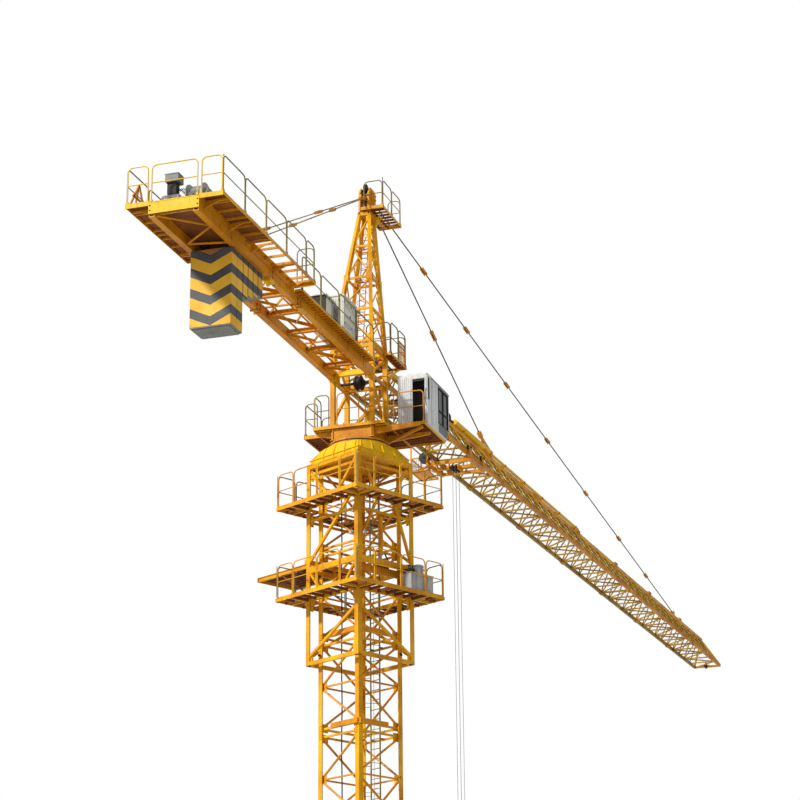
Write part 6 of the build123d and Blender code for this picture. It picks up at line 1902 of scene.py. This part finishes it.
def trolley_winch():
    """Trolley winch: bed beams, flanged drum with rope, gearbox and finned motor."""
    form, dark = forms(2)
    low, (x0, x1) = TRAVEL_WINCH_LOW, TRAVEL_WINCH_X
    middle, axle = (x0 + x1) / 2, low + 0.096
    for x in (x0, x1):
        form.beam(jib_at(x, -JIB_HALF, low - 0.018), jib_at(x, JIB_HALF, low - 0.018), 0.04, 0.03)
    for y in (-0.11, 0.11):
        form.beam(jib_at(x0, y, low), jib_at(x1, y, low), 0.03, 0.04)
        form.beam(jib_at(middle, y, low), jib_at(middle, y, low + 0.15), 0.026, 0.075, ALONG)
    dark.turned(jib_at(middle, -0.095, axle), ACROSS, [
        (0, 0.06), (0.002, 0.075), (0.012, 0.075), (0.014, 0.055), (0.176, 0.055), (0.178, 0.075),
        (0.188, 0.075), (0.19, 0.06),
    ], 32)
    wound_rope(dark, jib_at(middle, -0.075, axle), 0.057, 0.0055, TRAVEL_TURNS, TRAVEL_PITCH, 20)
    gear = [(0, 0.06), (0.01, 0.075), (0.05, 0.075), (0.052, 0.05), (0.12, 0.05), (0.125, 0.04)]
    form.turned(jib_at(middle, 0.125, axle), ACROSS, gear, 24)
    motor_fins(form, jib_at(middle, 0.21, axle), 0.055, 0.03, 16, 0.004, 0.012)
    form.make("trolley_winch_bed_and_motor", TURNING, ORANGE_AND_SHADE, "yellow_paint", ("trolley_winch",))
    dark.make("trolley_winch_drum", TURNING, DARK, "dark_steel")


# Ties

def double_link(form, centre, along, reach, spread, section, pin_at, pin_reach, pin_r, pin_sides):
    """Two link plates side by side along a tie, with a pin near each end."""
    for dy in (-spread, spread):
        shift = Vector((0, dy, 0))
        form.beam(centre - along * reach + shift, centre + along * reach + shift, *section)
    for d in (-pin_at, pin_at):
        form.axle(centre + along * d, pin_reach, pin_r, pin_sides)


def tie_line(name, head, foot, links, fork=0.0):
    """A tie rod in lengths joined by pinned double links, between the cap and its lug."""
    rod, link = forms(2)
    head, foot = Vector(head), Vector(foot)
    along = (foot - head).normalized()
    rod.tube(head + along * 0.06, foot - along * (0.02 + fork), TIE_R, 10)
    for x in links:
        centre = head + (foot - head) * ((x - head.x) / (foot.x - head.x))
        double_link(link, centre, along, 0.13, 0.02, (0.012, 0.052), 0.1, 0.034, 0.017, 12)
    link.beam(head - along * 0.025, head + along * 0.145, 0.023, 0.05)
    if fork:
        for dy in (-0.045, 0.045):
            tip = foot + Vector((0, dy, 0)) - along * 0.02
            link.beam(foot - along * (fork + 0.05), tip, 0.02, 0.05)
        link.beam(foot - along * (fork + 0.12), foot - along * (fork - 0.04), 0.07, 0.06)
    rod.make(name + "_rods", TURNING, ROD, "dark_steel", (name,))
    link.make(name + "_links", TURNING, ORANGE_AND_SHADE, "dark_steel")


def ties():
    """The jib's two ties with their lugs, and the counter-jib's pair."""
    lugs, rods, links = forms(3)
    tie_line("long_jib_tie", (EYE_X, 0, LONG_EYE), jib_at(LONG_TIE_X, 0, TIE_LIFT), LONG_LINKS)
    tie_line("short_jib_tie", (EYE_X, 0, SHORT_EYE), jib_at(SHORT_TIE_X, 0, TIE_LIFT), SHORT_LINKS, 0.55)
    low = JIB_DEPTH + 0.04
    for x in (LONG_TIE_X, SHORT_TIE_X):
        foot = [(x + dx, jib_at(x + dx, 0, low)[2]) for dx in (-0.07, 0.07)]
        top = [(x + dx, jib_at(x, 0, low + TIE_LUG)[2]) for dx in (0.035, -0.035)]
        for y in (-0.03, 0.03):
            lugs.plate(foot + top, 1, y, 0.008)
        lugs.axle(jib_at(x, 0, low + TIE_LUG * 0.6), 0.045, 0.02)
    lugs.make("jib_tie_lugs", TURNING, ORANGE_AND_SHADE, "yellow_paint")
    for side in (-1, 1):
        head = Vector((REAR_EYE_X, side * 0.0297, REAR_EYE))
        foot = Vector((COUNTER_TIE_X, side * CHORD_Y, CHORD_HIGH + 0.06))
        level = Vector((foot.x - head.x, 0, foot.z - head.z)).normalized()
        neck = head + level * 0.135
        along = (foot - neck).normalized()
        rods.tube(neck, foot, COUNTER_TIE_R, 10)
        links.beam(head - level * 0.025, head + level * 0.15, 0.023, 0.05)
        for share in COUNTER_LINKS:
            centre = neck + (foot - neck) * share
            double_link(links, centre, along, 0.12, 0.022, (0.01, 0.045), 0.09, 0.032, 0.014, 10)
        outline = [(COUNTER_TIE_X + dx, CHORD_HIGH + dz)
                   for dx, dz in ((-0.07, 0), (0.07, 0), (0.04, 0.12), (-0.04, 0.12))]
        for dy in (-0.018, 0.018):
            links.plate(outline, 1, side * CHORD_Y + dy, 0.006)
        links.axle((COUNTER_TIE_X, side * CHORD_Y, CHORD_HIGH + 0.07), 0.035, 0.016)
    rods.make("counter_jib_tie_rods", TURNING, RAIL, "dark_steel", ("counter_jib_ties",))
    links.make("counter_jib_tie_links", TURNING, ORANGE_AND_SHADE, "dark_steel")


# Trolley, ropes and hook

def trolley():
    """Welded frame with gussets and hangers, wheels on the chords and the rope's sheaves."""
    form, dark = forms(2)
    middle, drop, z = TROLLEY_X, -TROLLEY_DROP, TROLLEY_Z
    axles = (middle - TROLLEY_AXLE, middle + TROLLEY_AXLE)
    for y in (-TROLLEY_OUT, TROLLEY_OUT):
        ends = [jib_at(middle + dx, y, drop) for dx in (-TROLLEY_HALF, TROLLEY_HALF)]
        form.beam(*ends, 0.044, 0.06)
        inner = y - math.copysign(0.006, y)
        for x in axles:
            form.beam(jib_at(x, y, drop), jib_at(x, y, 0.118), 0.028, 0.06, ALONG)
            foot = jib_at(x, 0, drop)[2]
            for toward in (-1, 1):
                near, far = x + toward * 0.01, x + toward * 0.13
                form.plate([(near, foot), (far, foot + 0.02), (near, foot + 0.14)], 1, inner, 0.005)
    for x in (axles[0], middle, axles[1]):
        form.beam(jib_at(x, -TROLLEY_OUT, drop), jib_at(x, TROLLEY_OUT, drop), 0.05, 0.055)
    cheek = [(-0.155, 0.02), (0.155, 0.02), (0.155, -0.04), (0.11, -0.08), (-0.11, -0.08), (-0.155, -0.04)]
    for y in (-0.084, 0.084):
        form.plate([(middle + dx, z + dz) for dx, dz in cheek], 1, y, 0.006)
    for x in (middle - FALL_X, middle + FALL_X):
        for y in (-FALL_Y, FALL_Y):
            grooved_wheel(dark, (x, y, z - 0.025), 0.052, 0.03)
        dark.axle((x, 0, z - 0.025), 0.088, 0.012)
    wheel = [(0, 0.04), (0.003, 0.0545), (0.031, 0.0545), (0.034, 0.04)]
    for x in axles:
        for side in (-1, 1):
            centre = Vector(jib_at(x, side * (JIB_HALF + 0.029), 0.0905))
            dark.turned(centre - Vector((0, 0.017, 0)), ACROSS, wheel, 30)
            dark.tube(centre, (centre.x, side * (TROLLEY_OUT + 0.02), centre.z), 0.014, 12)
            dark.bolt((centre.x, side * (TROLLEY_OUT + 0.016), centre.z), (0, side, 0), 0.02)
    form.make("trolley_frame_beams", TROLLEY, ORANGE_AND_SHADE, "yellow_paint", ("trolley_frame",))
    dark.make("trolley_wheels_and_sheaves", TROLLEY, DARK, "dark_steel", ("trolley_wheels",))


def basket():
    """Maintenance basket: square-bar frame, mesh sides and a slatted floor, and the cable reel."""
    form, mesh, reel = forms(3)
    x0, x1 = TROLLEY_X - BASKET_HALF, TROLLEY_X + BASKET_HALF
    near, low = TROLLEY_OUT + 0.03, TROLLEY_Z - 0.10
    far, post = near + BASKET_DEEP, 0.012
    xs, ys = (x0 + post, x1 - post), (near + post, far - post)
    ring = [(xs[0], ys[0]), (xs[1], ys[0]), (xs[1], ys[1]), (xs[0], ys[1])]
    for spot in ring:
        form.beam(at(spot, low), at(spot, low + BASKET_HIGH), 0.022)
    for z in (low + post, low + BASKET_HIGH / 2, low + BASKET_HIGH - post):
        for p, q in ring_of(ring):
            form.beam(at(p, z), at(q, z), 0.02)
    for k in range(11):
        x = x0 + 0.03 + k * (x1 - x0 - 0.06) / 10
        form.beam((x, near, low + 0.014), (x, far, low + 0.014), 0.014, 0.012)
    open_sides = ring_of(ring)[1:]
    for k in range(1, 9):
        for p, q in open_sides:
            spot = between(p, q, k / 9)
            mesh.tube(at(spot, low + 0.02), at(spot, low + 0.25), 0.003, 5)
    for z in (low + 0.08, low + 0.14, low + 0.2):
        for p, q in open_sides:
            mesh.tube(at(p, z), at(q, z), 0.003, 5)
    centre = Vector((x0 - 0.075, near + 0.05, low + 0.22))
    reel.turned(centre, ALONG, [
        (0, 0.05), (0.002, 0.1), (0.012, 0.1), (0.014, 0.06), (0.05, 0.06), (0.052, 0.1), (0.062, 0.1),
        (0.064, 0.05),
    ], 28)
    reel.tube(centre, centre + Vector((0.09, 0, 0)), 0.016, 10)
    reel.make("trolley_cable_reel", TROLLEY, DARK, "dark_steel")
    for y in (near, near + 0.28):
        form.beam((x0 + 0.05, y, low + 0.02), (x0 + 0.05, TROLLEY_OUT - 0.02, low + 0.10), 0.02, 0.03)
    form.make("trolley_basket_frame", TROLLEY, ORANGE_AND_SHADE, "yellow_paint", ("trolley_basket",))
    mesh.make("trolley_basket_mesh", TROLLEY, RAIL, "galvanised")


def ropes():
    """Four falls of laid rope between the trolley's and the hook block's sheaves."""
    form = Form()
    for x in (TROLLEY_X - FALL_X, TROLLEY_X + FALL_X):
        for y in (-FALL_Y, FALL_Y):
            form.tube((x, y, BLOCK_TOP), (x, y, ROPE_TOP), ROPE_R, 10)
            for strand in range(ROPE_STRANDS):
                points = []
                for i in range(ROPE_POINTS):
                    turn = i * 0.8 + strand * 2 * math.pi / ROPE_STRANDS
                    z = BLOCK_TOP + (ROPE_TOP - BLOCK_TOP) * i / (ROPE_POINTS - 1)
                    points.append((x + 0.0028 * math.cos(turn), y + 0.0028 * math.sin(turn), z))
                form.pipe(points, 0.0022, 4)
    rope = form.make("hoist_rope_falls", TROLLEY, ROPE, "rope_wire", ("hoist_ropes",))
    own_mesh(rope)


def tapered(form, points, radii, sides_round):
    """A round bar along points in the jib's plane, with its own radius at each of them."""
    points, across = [Vector(p) for p in points], Vector(ACROSS)
    verts, faces = [], []
    for i, point in enumerate(points):
        before, after = points[max(0, i - 1)], points[min(len(points) - 1, i + 1)]
        top = (after - before).normalized().cross(across)
        verts += [point + (across * c - top * s) * radii[i] for c, s in around(sides_round)]
    for i in range(len(points) - 1):
        for k in range(sides_round):
            m = (k + 1) % sides_round
            low, high = i * sides_round, (i + 1) * sides_round
            faces.append([low + k, high + k, high + m, low + m])
    form.add(verts, faces, True)
    form.add(verts[:sides_round], [list(range(sides_round))])
    form.add(verts[-sides_round:], [list(range(sides_round))[::-1]])


def hook_block():
    """Cheek plates, sheaves, crosshead, swivel nut and the forged hook with its latch."""
    body, dark = forms(2)
    middle, z, top = TROLLEY_X, BLOCK_LOW, BLOCK_TOP
    cheek = [(-0.13, top - 0.06), (-0.09, top), (0.09, top), (0.13, top - 0.06), (0.13, z + 0.16), (0.06, z),
             (-0.06, z), (-0.13, z + 0.16)]
    for y in (-0.046, 0.046):
        body.plate([(middle + dx, height) for dx, height in cheek], 1, y, 0.004)
        body.box((middle - 0.06, y - 0.008, z + 0.02), (middle + 0.06, y + 0.008, z + 0.10))
    for x in (middle - 0.118, middle + 0.118):
        body.box((x - 0.008, -0.042, top - 0.16), (x + 0.008, 0.042, top - 0.08))
    for x in (middle - 0.05, middle + 0.05):
        for y in (-0.022, 0.022):
            grooved_wheel(dark, (x, y, BLOCK_AXLE), 0.062, 0.03)
        dark.axle((x, 0, BLOCK_AXLE), 0.05, 0.014)
        for side in (-1, 1):
            dark.bolt((x, side * 0.044, BLOCK_AXLE), (0, side, 0), 0.014)
    dark.box((middle - 0.07, -0.042, z + 0.03), (middle + 0.07, 0.042, z + 0.09))
    dark.turned((middle, 0, z - 0.02), UP, [(0, 0.03), (0.006, 0.038), (0.04, 0.038), (0.046, 0.03)], 20)
    centre = z - 0.12 - 0.154
    points = [(middle, 0, z + 0.02), (middle, 0, z - 0.09)]
    radii = [0.024, 0.024]
    for k in range(19):
        turn = math.radians(90 + 15 * k)
        points.append((middle + HOOK_R * math.cos(turn), 0, centre + HOOK_R * math.sin(turn)))
        radii.append(0.026 + 0.010 * math.sin(math.pi * min(1, k / 17)))
    radii[-1] = 0.014
    tapered(dark, points, radii, 14)
    dark.beam((middle + 0.02, 0, centre + 0.10), (middle + 0.118, 0, centre + 0.02), 0.012, 0.012)
    body.make("hook_block_cheeks", HOOK, BRIGHT, "yellow_paint", ("hook_block",))
    dark.make("hook_block_sheaves_and_hook", HOOK, DARK, "dark_steel")


set_camera()
set_stage()
for section_number in range(SECTIONS):
    mast_section(section_number)
for part in (mast_lugs, ladder, mast_cable, base_frame):
    part()
for name, deck in (("lower_platform", LOWER_DECK), ("upper_platform", UPPER_DECK)):
    ring_deck(name, deck)
for name, deck in (("lower_platform_rails", LOWER_DECK), ("upper_platform_rails", UPPER_DECK)):
    ring_guard(name, deck)
for part in (
    loading_platform, climbing_cage, jacking_gear, pump_unit, slewing_base, slewing_ring, slewing_frame,
    slewing_rails, slewing_tower, rope_wheels, cab_walls, cab_fittings, cab_glass, cab_inside, tower_head,
    head_cap, head_ladder, head_decks, head_rails, counter_frame, counter_walkways, counter_rails,
    hoist_winch, weights, cabinets,
):
    part()
for section_number in range(JIB_SECTIONS):
    jib_section(section_number)
for part in (jib_extras, trolley_winch, ties, trolley, basket, ropes, hook_block):
    part()
